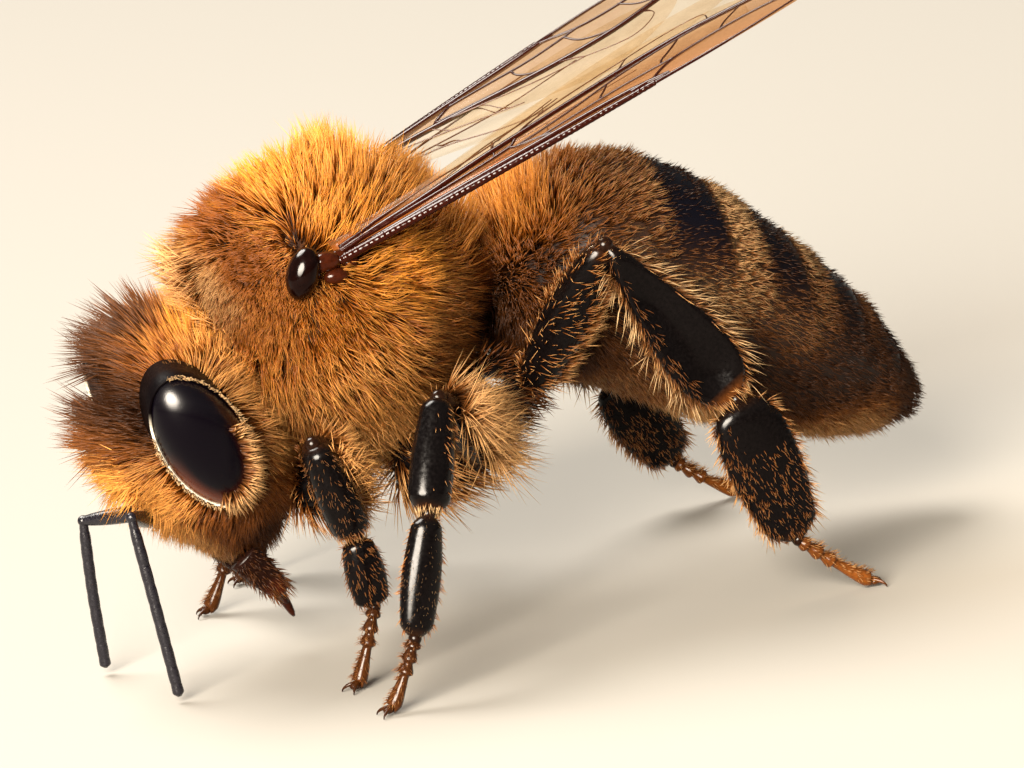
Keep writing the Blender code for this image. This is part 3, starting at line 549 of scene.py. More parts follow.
def add_piece(name, part, materials, replaced=()):
    """Makes one mesh object of a part, in metres, rides it on the body's root and hides the solids it stands for."""
    mesh = bpy.data.meshes.new(name)
    faces = part["faces"]
    mesh.vertices.add(len(part["points"]))
    mesh.vertices.foreach_set("co", (part["points"] * MM).astype(np.float32).ravel())
    mesh.loops.add(faces.size)
    mesh.loops.foreach_set("vertex_index", faces.astype(np.int32).ravel())
    mesh.polygons.add(len(faces))
    mesh.polygons.foreach_set("loop_start", np.arange(0, faces.size, 3, dtype=np.int32))
    mesh.polygons.foreach_set("material_index", part["material"].astype(np.int32))
    layer = mesh.uv_layers.new(name="OFBake")
    layer.data.foreach_set("uv", part["uv"].astype(np.float32).ravel())
    for key, value in part["attributes"].items():
        attribute = mesh.attributes.new(key, "FLOAT", "POINT")
        attribute.data.foreach_set("value", value.astype(np.float32))
    for material in materials:
        mesh.materials.append(material)
    mesh.update(calc_edges=True)
    mesh.shade_smooth()
    piece = bpy.data.objects.new(name, mesh)
    bpy.context.scene.collection.objects.link(piece)
    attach(piece, "root")
    if replaced:
        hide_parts(*replaced)


def carried(path, half_wide, half_thick, broad, cols=24, power=2.0):
    """Rings round a path: at each point a superellipse, |x/w|^p + |y/t|^p = 1, with its width along broad."""
    ahead = unit(np.gradient(path, axis=0))
    across = unit(broad - ahead * dots(ahead, broad))
    up = np.cross(ahead, across)
    angle = math.tau * np.arange(cols) / cols
    c, s = np.cos(angle), np.sin(angle)
    x, y = (np.sign(k) * np.abs(k) ** (2 / power) for k in (c, s))
    wide = across[:, None] * (half_wide[:, None] * x)[..., None]
    thick = up[:, None] * (half_thick[:, None] * y)[..., None]
    return path[:, None] + wide + thick


def blob(centre, radii, rows=20, cols=28, turn=None):
    """An ellipsoid: rings at the sine and cosine of the angle from one pole to the other."""
    a = np.linspace(0.06, math.pi - 0.06, rows)
    b = math.tau * np.arange(cols) / cols
    grid = np.stack([
        np.outer(np.sin(a), np.cos(b)), np.outer(np.sin(a), np.sin(b)), np.outer(np.cos(a), np.ones(cols))
    ], -1)
    grid = grid * np.asarray(radii, float)
    if turn is not None:
        grid = grid @ np.asarray(turn, float)
    return grid + np.asarray(centre, float)


# ---------------------------------------------------------------------------------------------------------------
# What the frame says
# ---------------------------------------------------------------------------------------------------------------


def node_points(node):
    """The different corners of a solid, in millimetres."""
    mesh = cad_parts[node].data
    co = np.zeros(len(mesh.vertices) * 3, np.float32)
    mesh.vertices.foreach_get("co", co)
    return np.unique(np.round(co.reshape(-1, 3).astype(float) / MM, 3), axis=0)


def meeting(first, second):
    """Middle of the cut face where the first solid meets the second."""
    a, b = node_points(first), node_points(second)
    gaps = np.linalg.norm(a[:, None] - b[None], axis=-1).min(axis=1)
    near = a[gaps < max(0.08, gaps.min() * 1.6)]
    return (near.min(0) + near.max(0)) / 2


def far_end(node, start):
    """Middle of a limb's end that is farthest from start."""
    points = node_points(node)
    reach = (points - start) @ unit(points.mean(0) - start)
    return points[reach > reach.max() - 0.12].mean(0)


def main_axes(node):
    """A solid's middle and its three directions, the longest first, with its half size along each."""
    points = node_points(node)
    middle = (points.min(0) + points.max(0)) / 2
    directions = np.linalg.svd(points - points.mean(0), full_matrices=False)[2]
    reach = (points - middle) @ directions.T
    middle = middle + ((reach.max(0) + reach.min(0)) / 2) @ directions
    return middle, directions, (reach.max(0) - reach.min(0)) / 2


# ---------------------------------------------------------------------------------------------------------------
# Colours and materials
# ---------------------------------------------------------------------------------------------------------------


def linear(colour):
    """An sRGB hex value as linear red, green, blue and alpha."""
    parts = [int(colour.lstrip("#")[k : k + 2], 16) / 255 for k in (0, 2, 4)]
    return (*(c / 12.92 if c <= 0.04045 else ((c + 0.055) / 1.055) ** 2.4 for c in parts), 1.0)


def add_node(tree, kind, inputs=None, **settings):
    """Adds a node with its settings. An input is a value, or another node's output to link."""
    made = tree.nodes.new(kind)
    for key, value in settings.items():
        setattr(made, key, value)
    for key, value in (inputs or {}).items():
        if isinstance(value, bpy.types.NodeSocket):
            tree.links.new(value, made.inputs[key])
        else:
            made.inputs[key].default_value = value
    return made


def new_material(name):
    """An empty material and its node tree."""
    made = bpy.data.materials.new(name)
    made.use_nodes = True
    made.node_tree.nodes.clear()
    return made, made.node_tree


def coat_colour(tree, colours):
    """The coat's colour by shade: near black, then umber to red-brown at 0.42, then tan to orange, both by warmth.

    A hair's tone shifts its shade: it differs at random from lock to lock, and it rises towards the tip as painted
    highlight. Skin and hair share this colour.
    """
    shade = add_node(tree, "ShaderNodeAttribute", attribute_name="shade")
    warmth = add_node(tree, "ShaderNodeAttribute", attribute_name="warmth")
    tone = add_node(tree, "ShaderNodeAttribute", attribute_name="tone")
    lit = add_node(tree, "ShaderNodeMapRange", {0: tone.outputs["Fac"], 3: 0.66, 4: 1.34})
    toned = add_node(
        tree, "ShaderNodeMath", {0: shade.outputs["Fac"], 1: lit.outputs[0]}, operation="MULTIPLY", use_clamp=True
    )
    bright = add_node(
        tree, "ShaderNodeMix",
        {0: warmth.outputs["Fac"], 6: linear(colours.coat_tan), 7: linear(colours.coat_orange)}, data_type="RGBA",
    )
    middle = add_node(
        tree, "ShaderNodeMix",
        {0: warmth.outputs["Fac"], 6: linear(colours.coat_umber), 7: linear(colours.coat_brown)}, data_type="RGBA",
    )
    low = add_node(tree, "ShaderNodeMapRange", {0: toned.outputs[0], 1: 0.0, 2: 0.42})
    high = add_node(tree, "ShaderNodeMapRange", {0: toned.outputs[0], 1: 0.42, 2: 1.0})
    brown = add_node(
        tree, "ShaderNodeMix",
        {0: low.outputs[0], 6: linear(colours.coat_dark), 7: middle.outputs[2]}, data_type="RGBA",
    )
    return add_node(
        tree, "ShaderNodeMix", {0: high.outputs[0], 6: brown.outputs[2], 7: bright.outputs[2]}, data_type="RGBA"
    )


def hair_material(colours):
    """Branched bee hair: keratin-like chitin threads, glossy along their length and glowing where light is behind."""
    material, tree = new_material("bee_hair_branched_chitin")
    colour = coat_colour(tree, colours)
    shell = add_node(
        tree, "ShaderNodeBsdfPrincipled",
        {"Base Color": colour.outputs[2], "Roughness": 0.40, "IOR": 1.45, "Specular IOR Level": 0.35},
    )
    glow = add_node(tree, "ShaderNodeBsdfTranslucent", {"Color": colour.outputs[2]})
    both = add_node(tree, "ShaderNodeMixShader", {0: 0.34, 1: shell.outputs[0], 2: glow.outputs[0]})
    add_node(tree, "ShaderNodeOutputMaterial", {"Surface": both.outputs[0]})
    return material


def skin_material(colours):
    """Cuticle of the body: black-brown and finely pitted under flat short fur; its smoother bare bands carry a painted
    blue sheen.
    """
    material, tree = new_material("bee_cuticle_pitted")
    place = add_node(tree, "ShaderNodeTexCoord")
    fur = coat_colour(tree, colours)
    band = add_node(tree, "ShaderNodeAttribute", attribute_name="band")
    # Flat fur lies in streaks about 0.03 mm apart.
    streaks = add_node(tree, "ShaderNodeTexNoise", {"Vector": place.outputs["Object"], "Scale": 1 / (0.03 * MM)})
    share = add_node(tree, "ShaderNodeMapRange", {0: streaks.outputs[0], 1: 0.45, 2: 0.75, 3: 0.04, 4: 0.20})
    bare = add_node(tree, "ShaderNodeAttribute", attribute_name="bare")
    plain = add_node(
        tree, "ShaderNodeMix",
        {0: bare.outputs["Fac"], 6: linear(colours.cuticle), 7: linear(colours.worn)}, data_type="RGBA",
    )
    shell = add_node(
        tree, "ShaderNodeMix", {0: share.outputs[0], 6: plain.outputs[2], 7: fur.outputs[2]}, data_type="RGBA",
    )
    # The bare rear edges of the plates take the band colour, whose blue cast is a painted reflection.
    colour = add_node(
        tree, "ShaderNodeMix",
        {0: band.outputs["Fac"], 6: shell.outputs[2], 7: linear(colours.band)}, data_type="RGBA",
    )
    worn = add_node(tree, "ShaderNodeMapRange", {0: bare.outputs["Fac"], 3: 0.50, 4: 0.66})
    rough = add_node(
        tree, "ShaderNodeMath", {0: band.outputs["Fac"], 1: -0.24, 2: worn.outputs[0]}, operation="MULTIPLY_ADD"
    )
    # Pits of the shell, about 0.025 mm across.
    pits = add_node(
        tree, "ShaderNodeTexVoronoi", {"Vector": place.outputs["Object"], "Scale": 1 / (0.025 * MM)}
    )
    relief = add_node(
        tree, "ShaderNodeBump", {"Strength": 0.35, "Distance": 0.006 * MM, "Height": pits.outputs["Distance"]}
    )
    shader = add_node(
        tree, "ShaderNodeBsdfPrincipled",
        {
            "Base Color": colour.outputs[2], "Roughness": rough.outputs[0], "IOR": 1.45, "Specular IOR Level": 0.2,
            "Normal": relief.outputs[0],
        },
    )
    add_node(tree, "ShaderNodeOutputMaterial", {"Surface": shader.outputs[0]})
    return material


def painted_reflection_dimming(tree, place, least):
    """Painted shade on a shell's reflection: the share of its Specular Tint, all on faces that look up, least on those
    that look level or down.

    The dimming is painted, so that level and lower faces do not mirror the pale floor.
    """
    height = add_node(tree, "ShaderNodeSeparateXYZ", {0: place.outputs["Normal"]})
    return add_node(tree, "ShaderNodeMapRange", {0: height.outputs["Z"], 1: 0.12, 2: 0.32, 3: least, 4: 1.0})


def shell_material(name, dark, light, low, high, grain, relief, gloss=0.5, least=0.16):
    """Polished chitin: dark, with a lighter colour where the joint attribute says, and a fine grain of given size.

    The grain breaks the gloss into the small uneven lights that an insect's shell gives.
    """
    material, tree = new_material(name)
    place = add_node(tree, "ShaderNodeTexCoord")
    joint = add_node(tree, "ShaderNodeAttribute", attribute_name="joint")
    noise = add_node(tree, "ShaderNodeTexNoise", {"Vector": place.outputs["Object"], "Scale": 1 / (grain * MM)})
    colour = add_node(
        tree, "ShaderNodeMix", {0: joint.outputs["Fac"], 6: linear(dark), 7: linear(light)}, data_type="RGBA"
    )
    varied = add_node(tree, "ShaderNodeMapRange", {0: noise.outputs[0], 1: 0.3, 2: 0.7, 3: 0.7, 4: 1.3})
    toned = add_node(tree, "ShaderNodeVectorMath", {0: colour.outputs[2], 3: varied.outputs[0]}, operation="SCALE")
    rough = add_node(tree, "ShaderNodeMapRange", {0: noise.outputs[0], 1: 0.3, 2: 0.7, 3: low, 4: high})
    bump = add_node(
        tree, "ShaderNodeBump", {"Strength": relief, "Distance": 0.005 * MM, "Height": noise.outputs[0]}
    )
    # Painted shade on the reflection: it is dimmed on faces that look level or down.
    painted_reflection_share = painted_reflection_dimming(tree, place, least)
    shader = add_node(
        tree, "ShaderNodeBsdfPrincipled",
        {
            "Base Color": toned.outputs[0], "Roughness": rough.outputs[0], "IOR": 1.42, "Specular IOR Level": gloss,
            "Specular Tint": painted_reflection_share.outputs[0], "Normal": bump.outputs[0],
        },
    )
    add_node(tree, "ShaderNodeOutputMaterial", {"Surface": shader.outputs[0]})
    return material


def eye_material(colours):
    """Compound eye: near-black glossy dome of six-sided facets, too fine to tell apart but for a broken highlight.

    Real facets are 0.02 mm across. They are drawn 0.03 mm across so that they show at all.
    """
    material, tree = new_material("bee_eye_faceted_dome")
    place = add_node(tree, "ShaderNodeTexCoord")
    facets = add_node(
        tree, "ShaderNodeTexVoronoi", {"Vector": place.outputs["Object"], "Scale": 1 / (0.03 * MM), "Randomness": 0.25}
    )
    rim = add_node(tree, "ShaderNodeAttribute", attribute_name="joint")
    # Towards brown at the dome's lower edge: partly the eye's own fine hairs there, partly painted light, their glow
    # where the key light catches them.
    colour = add_node(
        tree, "ShaderNodeMix", {0: rim.outputs["Fac"], 6: linear(colours.eye), 7: linear("#54220A")}, data_type="RGBA"
    )
    bump = add_node(
        tree, "ShaderNodeBump", {"Strength": 0.12, "Distance": 0.004 * MM, "Height": facets.outputs["Distance"]}
    )
    # Painted shade on the reflection: it is dimmed on faces that look level or down.
    painted_reflection_share = painted_reflection_dimming(tree, place, 0.10)
    shader = add_node(
        tree, "ShaderNodeBsdfPrincipled",
        {
            "Base Color": colour.outputs[2], "Roughness": 0.26, "IOR": 1.50, "Specular IOR Level": 0.6,
            "Specular Tint": painted_reflection_share.outputs[0], "Normal": bump.outputs[0],
        },
    )
    add_node(tree, "ShaderNodeOutputMaterial", {"Surface": shader.outputs[0]})
    return material


def membrane_material(colours):
    """Wing membrane: clear amber chitin foil, glossy, thicker in tone near the root, set with tiny hairs."""
    material, tree = new_material("bee_wing_membrane")
    place = add_node(tree, "ShaderNodeTexCoord")
    noise = add_node(tree, "ShaderNodeTexNoise", {"Vector": place.outputs["Object"], "Scale": 1 / (0.35 * MM)})
    dense = add_node(tree, "ShaderNodeAttribute", attribute_name="joint")
    colour = add_node(
        tree, "ShaderNodeMix",
        {0: dense.outputs["Fac"], 6: linear("#6E5C40"), 7: linear(colours.membrane)}, data_type="RGBA",
    )
    tint = add_node(
        tree, "ShaderNodeMix",
        {0: dense.outputs["Fac"], 6: linear("#FFFAF2"), 7: linear("#E8BC88")}, data_type="RGBA",
    )
    clear = add_node(tree, "ShaderNodeMapRange", {0: dense.outputs["Fac"], 3: 0.05, 4: 0.50})
    patchy = add_node(tree, "ShaderNodeMapRange", {0: noise.outputs[0], 1: 0.3, 2: 0.7, 3: -0.03, 4: 0.05})
    solid = add_node(
        tree, "ShaderNodeMath", {0: clear.outputs[0], 1: patchy.outputs[0]}, operation="ADD", use_clamp=True
    )
    # The tiny hairs of the wing stand about 0.06 mm apart.
    hairs = add_node(tree, "ShaderNodeTexVoronoi", {"Vector": place.outputs["Object"], "Scale": 1 / (0.06 * MM)})
    bump = add_node(
        tree, "ShaderNodeBump", {"Strength": 0.25, "Distance": 0.006 * MM, "Height": hairs.outputs["Distance"]}
    )
    shader = add_node(
        tree, "ShaderNodeBsdfPrincipled",
        {"Base Color": colour.outputs[2], "Roughness": 0.24, "IOR": 1.38, "Normal": bump.outputs[0]},
    )
    through = add_node(tree, "ShaderNodeBsdfTransparent", {"Color": tint.outputs[2]})
    foil = add_node(tree, "ShaderNodeMixShader", {0: solid.outputs[0], 1: through.outputs[0], 2: shader.outputs[0]})
    add_node(tree, "ShaderNodeOutputMaterial", {"Surface": foil.outputs[0]})
    return material


def floor_material(colours):
    """Matt painted board: pale and even, with a faint grain of the roller."""
    material, tree = new_material("matt_painted_board")
    place = add_node(tree, "ShaderNodeTexCoord")
    grain = add_node(tree, "ShaderNodeTexNoise", {"Vector": place.outputs["Object"], "Scale": 1 / (1.2 * MM)})
    bump = add_node(tree, "ShaderNodeBump", {"Strength": 0.05, "Distance": 0.02 * MM, "Height": grain.outputs[0]})
    shader = add_node(
        tree, "ShaderNodeBsdfPrincipled",
        {"Base Color": linear(colours.floor), "Roughness": 0.85, "Normal": bump.outputs[0]},
    )
    add_node(tree, "ShaderNodeOutputMaterial", {"Surface": shader.outputs[0]})
    return material


def shared_material(name, make, *looks):
    """The material of that name, made the first time it is asked for."""
    return bpy.data.materials.get(name) or make(*looks)


def shared_shell(name, *looks):
    """The polished chitin of that name, made the first time it is asked for."""
    return shared_material(name, shell_material, name, *looks)


def leg_shell(colours):
    """Polished black chitin of the legs."""
    return shared_shell("bee_leg_chitin_polished", colours.chitin, colours.joint, 0.12, 0.26, 0.05, 0.12, 0.40)


def shared_hair(colours):
    """The hair's material, which all coats share."""
    return shared_material("bee_hair_branched_chitin", hair_material, colours)


# ---------------------------------------------------------------------------------------------------------------
# The skin and how the coat grows on it
# ---------------------------------------------------------------------------------------------------------------


def body_sections():
    """All sections from face to tail as centre x and z, lean in radians, half width, reach up and reach down."""
    front = np.array(FRONT_SECTIONS)
    front[:, 2] = np.radians(front[:, 2])
    top_x, top_z, low_x, low_z, width = np.array(ABDOMEN_STATIONS).T
    half = np.hypot(top_x - low_x, top_z - low_z) / 2
    lean = -np.arctan2(top_x - low_x, top_z - low_z)
    rear = np.stack([(top_x + low_x) / 2, (top_z + low_z) / 2, lean, width, half, half], 1)
    return np.concatenate([front, rear])


def tergite_share(station):
    """Which plate of the abdomen a station is on, counted from 0, and how far along that plate it is, 0 to 1."""
    edges = np.array(TERGITE_EDGES)
    number = np.clip(np.searchsorted(edges, station, side="right") - 1, 0, len(edges) - 2)
    share = (station - edges[number]) / (edges[number + 1] - edges[number])
    return number, np.clip(share, 0.0, 1.0)


def eye_frames():
    """For each side the eye's middle, its directions up, ahead and out of the head, and its half sizes."""
    frames = {}
    for side, sign in SIDES:
        middle, directions, halves = main_axes(side + "_compound_eye")
        up = directions[0] * np.sign(directions[0][2])
        ahead = directions[1] * -np.sign(directions[1][0])
        out = directions[2] * np.sign(directions[2][1] * sign)
        middle = middle + np.array(EYE_SHIFT) * (1.0, sign, 1.0)
        frames[side] = (middle, up, ahead, out, halves)
    return frames


def body_surface(sizes):
    """The skin as a grid of oval sections, |y/w|^2 + |z/h|^2 = 1, one at each place on the body's line.

    Their height differs above and below. Squared sizes are read along the body, so that the ends are round. Towards
    the mouth the head's lower half narrows. Each plate of the abdomen stands out more towards its rear edge.
    """
    sections = body_sections()
    squared = sections.copy()
    squared[:, 3:] = sections[:, 3:] ** 2
    places = np.linspace(0, len(sections) - 1, sizes.rows)
    x, z, lean, wide, above, below = curve_through(squared, places).T
    wide, above, below = (np.sqrt(np.maximum(k, 1e-4)) for k in (wide, above, below))
    angle = math.tau * (np.arange(sizes.columns) + 0.5) / sizes.columns
    side, up = np.sin(angle), -np.cos(angle)  # the grid starts and ends along the belly
    reach = np.where(up[None] > 0, above[:, None], below[:, None]) * up[None]
    head = 1 - smooth(6.0, 7.0, places)
    narrow = 1 - 0.34 * head[:, None] * smooth(0.0, 1.0, -up)[None]
    across = wide[:, None] * side[None] * narrow
    grid = np.stack([
        x[:, None] - np.sin(lean)[:, None] * reach, across, z[:, None] + np.cos(lean)[:, None] * reach
    ], -1)
    normals = grid_normals(grid)
    for (sx, sy, sz), size, height in SWELLINGS:
        mirrored = np.stack([grid[..., 0], np.abs(grid[..., 1]), grid[..., 2]], -1)
        near = np.sum((mirrored - (sx, sy, sz)) ** 2, axis=-1)
        grid = grid + normals * (height * np.exp(-near / size**2))[..., None]
    station = places - len(FRONT_SECTIONS)
    share = tergite_share(np.maximum(station, 0.0))[1]
    step = np.where(station > 0, TERGITE_STEP * (share**1.5 - 0.4), 0.0) * smooth(8.0, 7.2, station)
    grid = grid + normals * step[:, None, None]
    return grid, grid_normals(grid), station


def growth_at(points, normals, station):
    """How the coat grows at points: a blend of COAT_PLACES, each weighted by the inverse fourth power of distance."""
    rows = list(COAT_PLACES.values())
    spots = np.array([r[0] for r in rows])
    combed = np.array([r[1] for r in rows], float)
    values = np.array([r[2:] for r in rows], float)
    mirrored = np.stack([points[:, 0], np.abs(points[:, 1]), points[:, 2]], 1)
    weight = np.zeros((len(points), len(rows)))
    for k, spot in enumerate(spots):
        weight[:, k] = 1 / (np.sum((mirrored - spot) ** 2, axis=1) + 0.02) ** 2
    weight /= weight.sum(1, keepdims=True)
    flow = weight @ combed
    flow[:, 1] *= np.sign(points[:, 1])
    flow = unit(flow - normals * dots(flow, normals))
    length, lean, shade, warmth, density = (weight @ values).T
    number, share = tergite_share(np.maximum(station, 0.0))
    on_back = smooth(0.05, 0.70, normals[:, 2])
    plates = (station > 0) & (number > 0)
    starts = np.where(number > 1, 0.36, 0.42)  # the rear bands are broader
    band = np.where(plates, smooth(0.0, 0.14, share - starts) * on_back, 0.0)
    pale = np.where(plates & (number > 1), smooth(0.40, 0.0, share) * on_back, 0.0)
    return {
        "flow": flow,
        "length": length * (1 - 0.35 * band),
        "lean": np.radians(lean + 6 * band),
        "shade": np.clip(shade * (1 - 0.92 * band) + 0.20 * pale, 0, 1),
        "warmth": np.clip(warmth, 0, 1),
        "density": density * (1 - 0.72 * band),
        "band": band,
        "bare": smooth(0.42, 0.20, length) * (station < 0),
    }


def grown_surface(sizes):
    """The skin's grid and normals, with the growth on it as one grid of numbers for each of its qualities."""
    grid, normals, station = body_surface(sizes)
    growth = growth_at(grid.reshape(-1, 3), normals.reshape(-1, 3), np.repeat(station, grid.shape[1]))
    return grid, normals, {key: growth[key].reshape(grid.shape[:2]) for key in growth if key != "flow"}


# ---------------------------------------------------------------------------------------------------------------
# Hairs
# ---------------------------------------------------------------------------------------------------------------


def scatter(grid, normals, weights, count, rng):
    """Roots spread over a grid of rings: a face by its weight, then a place on it by two shares."""
    rows, cols = grid.shape[:2]
    chances = np.cumsum(weights.ravel())
    chosen = np.searchsorted(chances, rng.random(count) * chances[-1])
    i, j = np.divmod(np.minimum(chosen, weights.size - 1), cols)
    a, b = rng.random(count)[:, None], rng.random(count)[:, None]
    k = (j + 1) % cols

    def blend(values):
        """A grid's values at the chosen places."""
        near, far = values[i, j] * (1 - b) + values[i, k] * b, values[i + 1, j] * (1 - b) + values[i + 1, k] * b
        return near * (1 - a) + far * a

    along = (i + a[:, 0]) / (rows - 1)
    return blend(grid), unit(blend(normals)), along, (j + b[:, 0]) / cols


def face_areas(grid):
    """Area of each face of a grid of rings, from the cross product of its sides."""
    along = grid[1:] - grid[:-1]
    around = np.roll(grid, -1, axis=1) - grid
    return np.linalg.norm(np.cross(along, around[:-1]), axis=-1)


def nearest_lock(points, size):
    """The nearest of the lock centres, one at a scattered place in each cube of a lattice, with a number for each."""
    cells = np.floor(points / size)
    best = np.full(len(points), np.inf)
    centre, number = points.copy(), np.zeros(len(points))
    for step in np.ndindex(3, 3, 3):
        cell = cells + np.array(step) - 1
        mixed = cell @ np.array([12.9898, 78.233, 37.719])
        jitter = np.stack([np.sin(mixed + k) * 43758.5453 % 1.0 for k in (0.0, 1.7, 3.1)], 1)
        spot = (cell + jitter) * size
        gap = np.sum((spot - points) ** 2, axis=1)
        closer = gap < best
        best = np.where(closer, gap, best)
        centre = np.where(closer[:, None], spot, centre)
        number = np.where(closer, np.sin(mixed * 3.7) * 24634.6345 % 1.0, number)
    return centre, number


def hairs(roots, normals, uv, growth, radius, lock_size, lock_pull, curl, rng):
    """Three-sided hairs that taper to a point.

    The line of a hair at share t of its length L is root + L (t d + curl t^2 f) + pull t^2 (lock - root), with d its
    direction, f the combing direction and lock the middle of its lock, seen along d. Each hair has rings at t = 0
    and 0.5 and its point at t = 1. Length, lean, shade, warmth and radius are one number each, or one for each hair.
    """
    count = len(roots)
    length, lean, shade, warmth, radius = (
        np.broadcast_to(value, count)
        for value in (growth["length"], growth["lean"], growth["shade"], growth["warmth"], radius)
    )
    lock, number = nearest_lock(roots, lock_size)
    lean = lean * (1 + 0.10 * rng.standard_normal(count)) + 0.36 * (number - 0.5)
    flow = unit(growth["flow"] + 0.22 * rng.standard_normal((count, 3)) + (number[:, None] - 0.5) * (0.7, 1.2, -1.0))
    d = unit(normals * np.cos(lean)[:, None] + flow * np.sin(lean)[:, None])
    length = length * (0.62 + 0.5 * rng.random(count)) * (0.88 + 0.24 * number)
    drawn = lock - roots
    drawn = drawn - d * dots(drawn, d)
    drawn = drawn - normals * np.minimum(dots(drawn, normals), 0)  # never into the skin
    drawn = drawn * np.minimum(1.0, 0.45 * length[:, None] / (np.linalg.norm(drawn, axis=1, keepdims=True) + 1e-9))
    side = unit(np.cross(d, rng.standard_normal((count, 3))))
    other = np.cross(d, side)
    rings = []
    for t, wide in ((0.0, 1.0), (0.5, 0.78)):
        bend = flow * (curl * t * t)
        line = roots + length[:, None] * (t * d + bend) + drawn * lock_pull * t * t - normals * 0.02 * (1 - t)
        for k in range(3):
            a = math.tau * k / 3
            rings.append(line + (side * math.cos(a) + other * math.sin(a)) * (radius * wide)[:, None])
    tip = roots + length[:, None] * (d + flow * curl) + drawn * lock_pull
    points = np.stack([*rings, tip], 1)
    pattern = [(0, 2, 1)]
    for k in range(3):
        n = (k + 1) % 3
        pattern += [(k, n, 3 + n), (k, 3 + n, 3 + k), (3 + k, 3 + n, 6)]
    pattern = np.array(pattern)
    faces = (np.arange(count)[:, None, None] * HAIR_POINTS + pattern[None]).reshape(-1, 3)
    patch = 0.003 * np.array([(0, 0), (0, 0.5), (0, 1), (0.5, 0), (0.5, 0.5), (0.5, 1), (1, 0.5)])
    corners = np.clip(uv[:, None] * 0.997 + patch[None], 0, 1)
    along = np.tile([0.0, 0.0, 0.0, 0.5, 0.5, 0.5, 1.0], count)
    tone = 0.45 * rng.random(count) + 0.55 * number
    # Shade along each hair, from 0.03 of the place's shade at the root to 1.42 at the tip: painted shade where the coat
    # shades its own roots, and a painted highlight on the tips that the key light catches.
    shade = shade[:, None] * np.array([0.03, 0.03, 0.03, 0.66, 0.66, 0.66, 1.42])[None]
    return {
        "points": points.reshape(-1, 3),
        "faces": faces,
        "uv": corners.reshape(-1, 2)[faces],
        "material": np.zeros(len(faces), int),
        "attributes": {
            "shade": np.clip(shade, 0, 1).ravel(),
            "warmth": np.repeat(warmth, HAIR_POINTS),
            # The tone rises towards the tip: more of the same painted highlight.
            "tone": np.clip(np.repeat(tone, HAIR_POINTS) + 0.15 * (along - 0.5), 0, 1),
        },
    }


def dome_height(share, halves):
    """Height of an eye's dome over its base where its outline has shrunk to share: a superellipse of power 2.3."""
    return EYE_BULGE * halves[2] * (1 - np.clip(share, 0, 1) ** 2.3) ** (1 / 2.3)


def round_eye(eye, angle, spread):
    """Directions outwards and places round an eye, at angles from ahead to up and at shares of its outline."""
    _, up, ahead, _, halves = eye
    c, s = np.cos(angle), np.sin(angle)
    radial = unit(ahead * c[:, None] * halves[0] + up * s[:, None] * halves[1])
    return radial, ahead * (c * halves[1] * spread)[:, None] + up * (s * halves[0] * spread)[:, None]


def outside_eyes(points):
    """True for points that are in no eye's dome and not beside a small eye."""
    gaps = [np.linalg.norm(points - spot, axis=1) for spot in OCELLI]
    free = np.min(gaps, axis=0) > OCELLUS_CLEARING
    for middle, up, ahead, out, halves in eye_frames().values():
        rel = points - middle
        share = np.hypot(rel @ up / halves[0], rel @ ahead / halves[1])
        height = rel @ out + halves[2]
        free &= ~((share < 1.0) & (height < dome_height(share, halves) + 0.02) & (height > -0.30))
    return free


# ---------------------------------------------------------------------------------------------------------------
# Operators
# ---------------------------------------------------------------------------------------------------------------


class BEE_OT_body_skin(bpy.types.Operator):
    """Builds one skin over head, thorax and abdomen, without a seam"""

    bl_idname = "bee.body_skin"
    bl_label = "Body Skin"

    def execute(self, context):
        sizes, colours = context.scene.bee_sizes, context.scene.bee_colours
        grid, _, growth = grown_surface(sizes)
        part = closed_tube(grid, **{key: growth[key] for key in ("shade", "warmth", "band", "bare")})
        nodes = ["head", "thorax"] + [f"abdomen_segment_{k}" for k in range(1, 7)]
        material = shared_material("bee_cuticle_pitted", skin_material, colours)
        add_piece("body_skin", part, [material], nodes)
        return {"FINISHED"}


class BEE_OT_body_coat(bpy.types.Operator):
    """Grows the hair of head, thorax and abdomen on the skin"""

    bl_idname = "bee.body_coat"
    bl_label = "Body Coat"

    def execute(self, context):
        sizes, colours = context.scene.bee_sizes, context.scene.bee_colours
        grid, normals, grown = grown_surface(sizes)
        weights = face_areas(grid) * grown["density"][:-1]
        shares = np.arange(len(grid) - 1) / (len(grid) - 1)
        sides = grid[:-1, :, 1]
        material = shared_hair(colours)
        for seed, (name, start, end, side, share, lock, slot, worn) in enumerate(COAT_PIECES):
            rng = np.random.default_rng(100 + seed)
            here = ((shares >= start) & (shares < end))[:, None] & (sides * side > 0)
            here = here * (grown["bare"][:-1] if worn else 1.0)
            roots, out, along, around = scatter(grid, normals, weights * here, int(sizes.body_hairs * share), rng)
            free = outside_eyes(roots)
            roots, out, along, around = roots[free], out[free], along[free], around[free]
            station = along * (len(body_sections()) - 1) - len(FRONT_SECTIONS)
            growth = growth_at(roots, out, station)
            growth["length"] = growth["length"] * sizes.length_scale
            radius = sizes.hair_radius / MM * (0.40 + 0.72 * growth["length"])
            part = hairs(
                roots, out, np.stack([along, around], 1), growth, radius, lock, sizes.lock_pull, 0.16, rng
            )
            add_piece(name, part, [material])
        return {"FINISHED"}


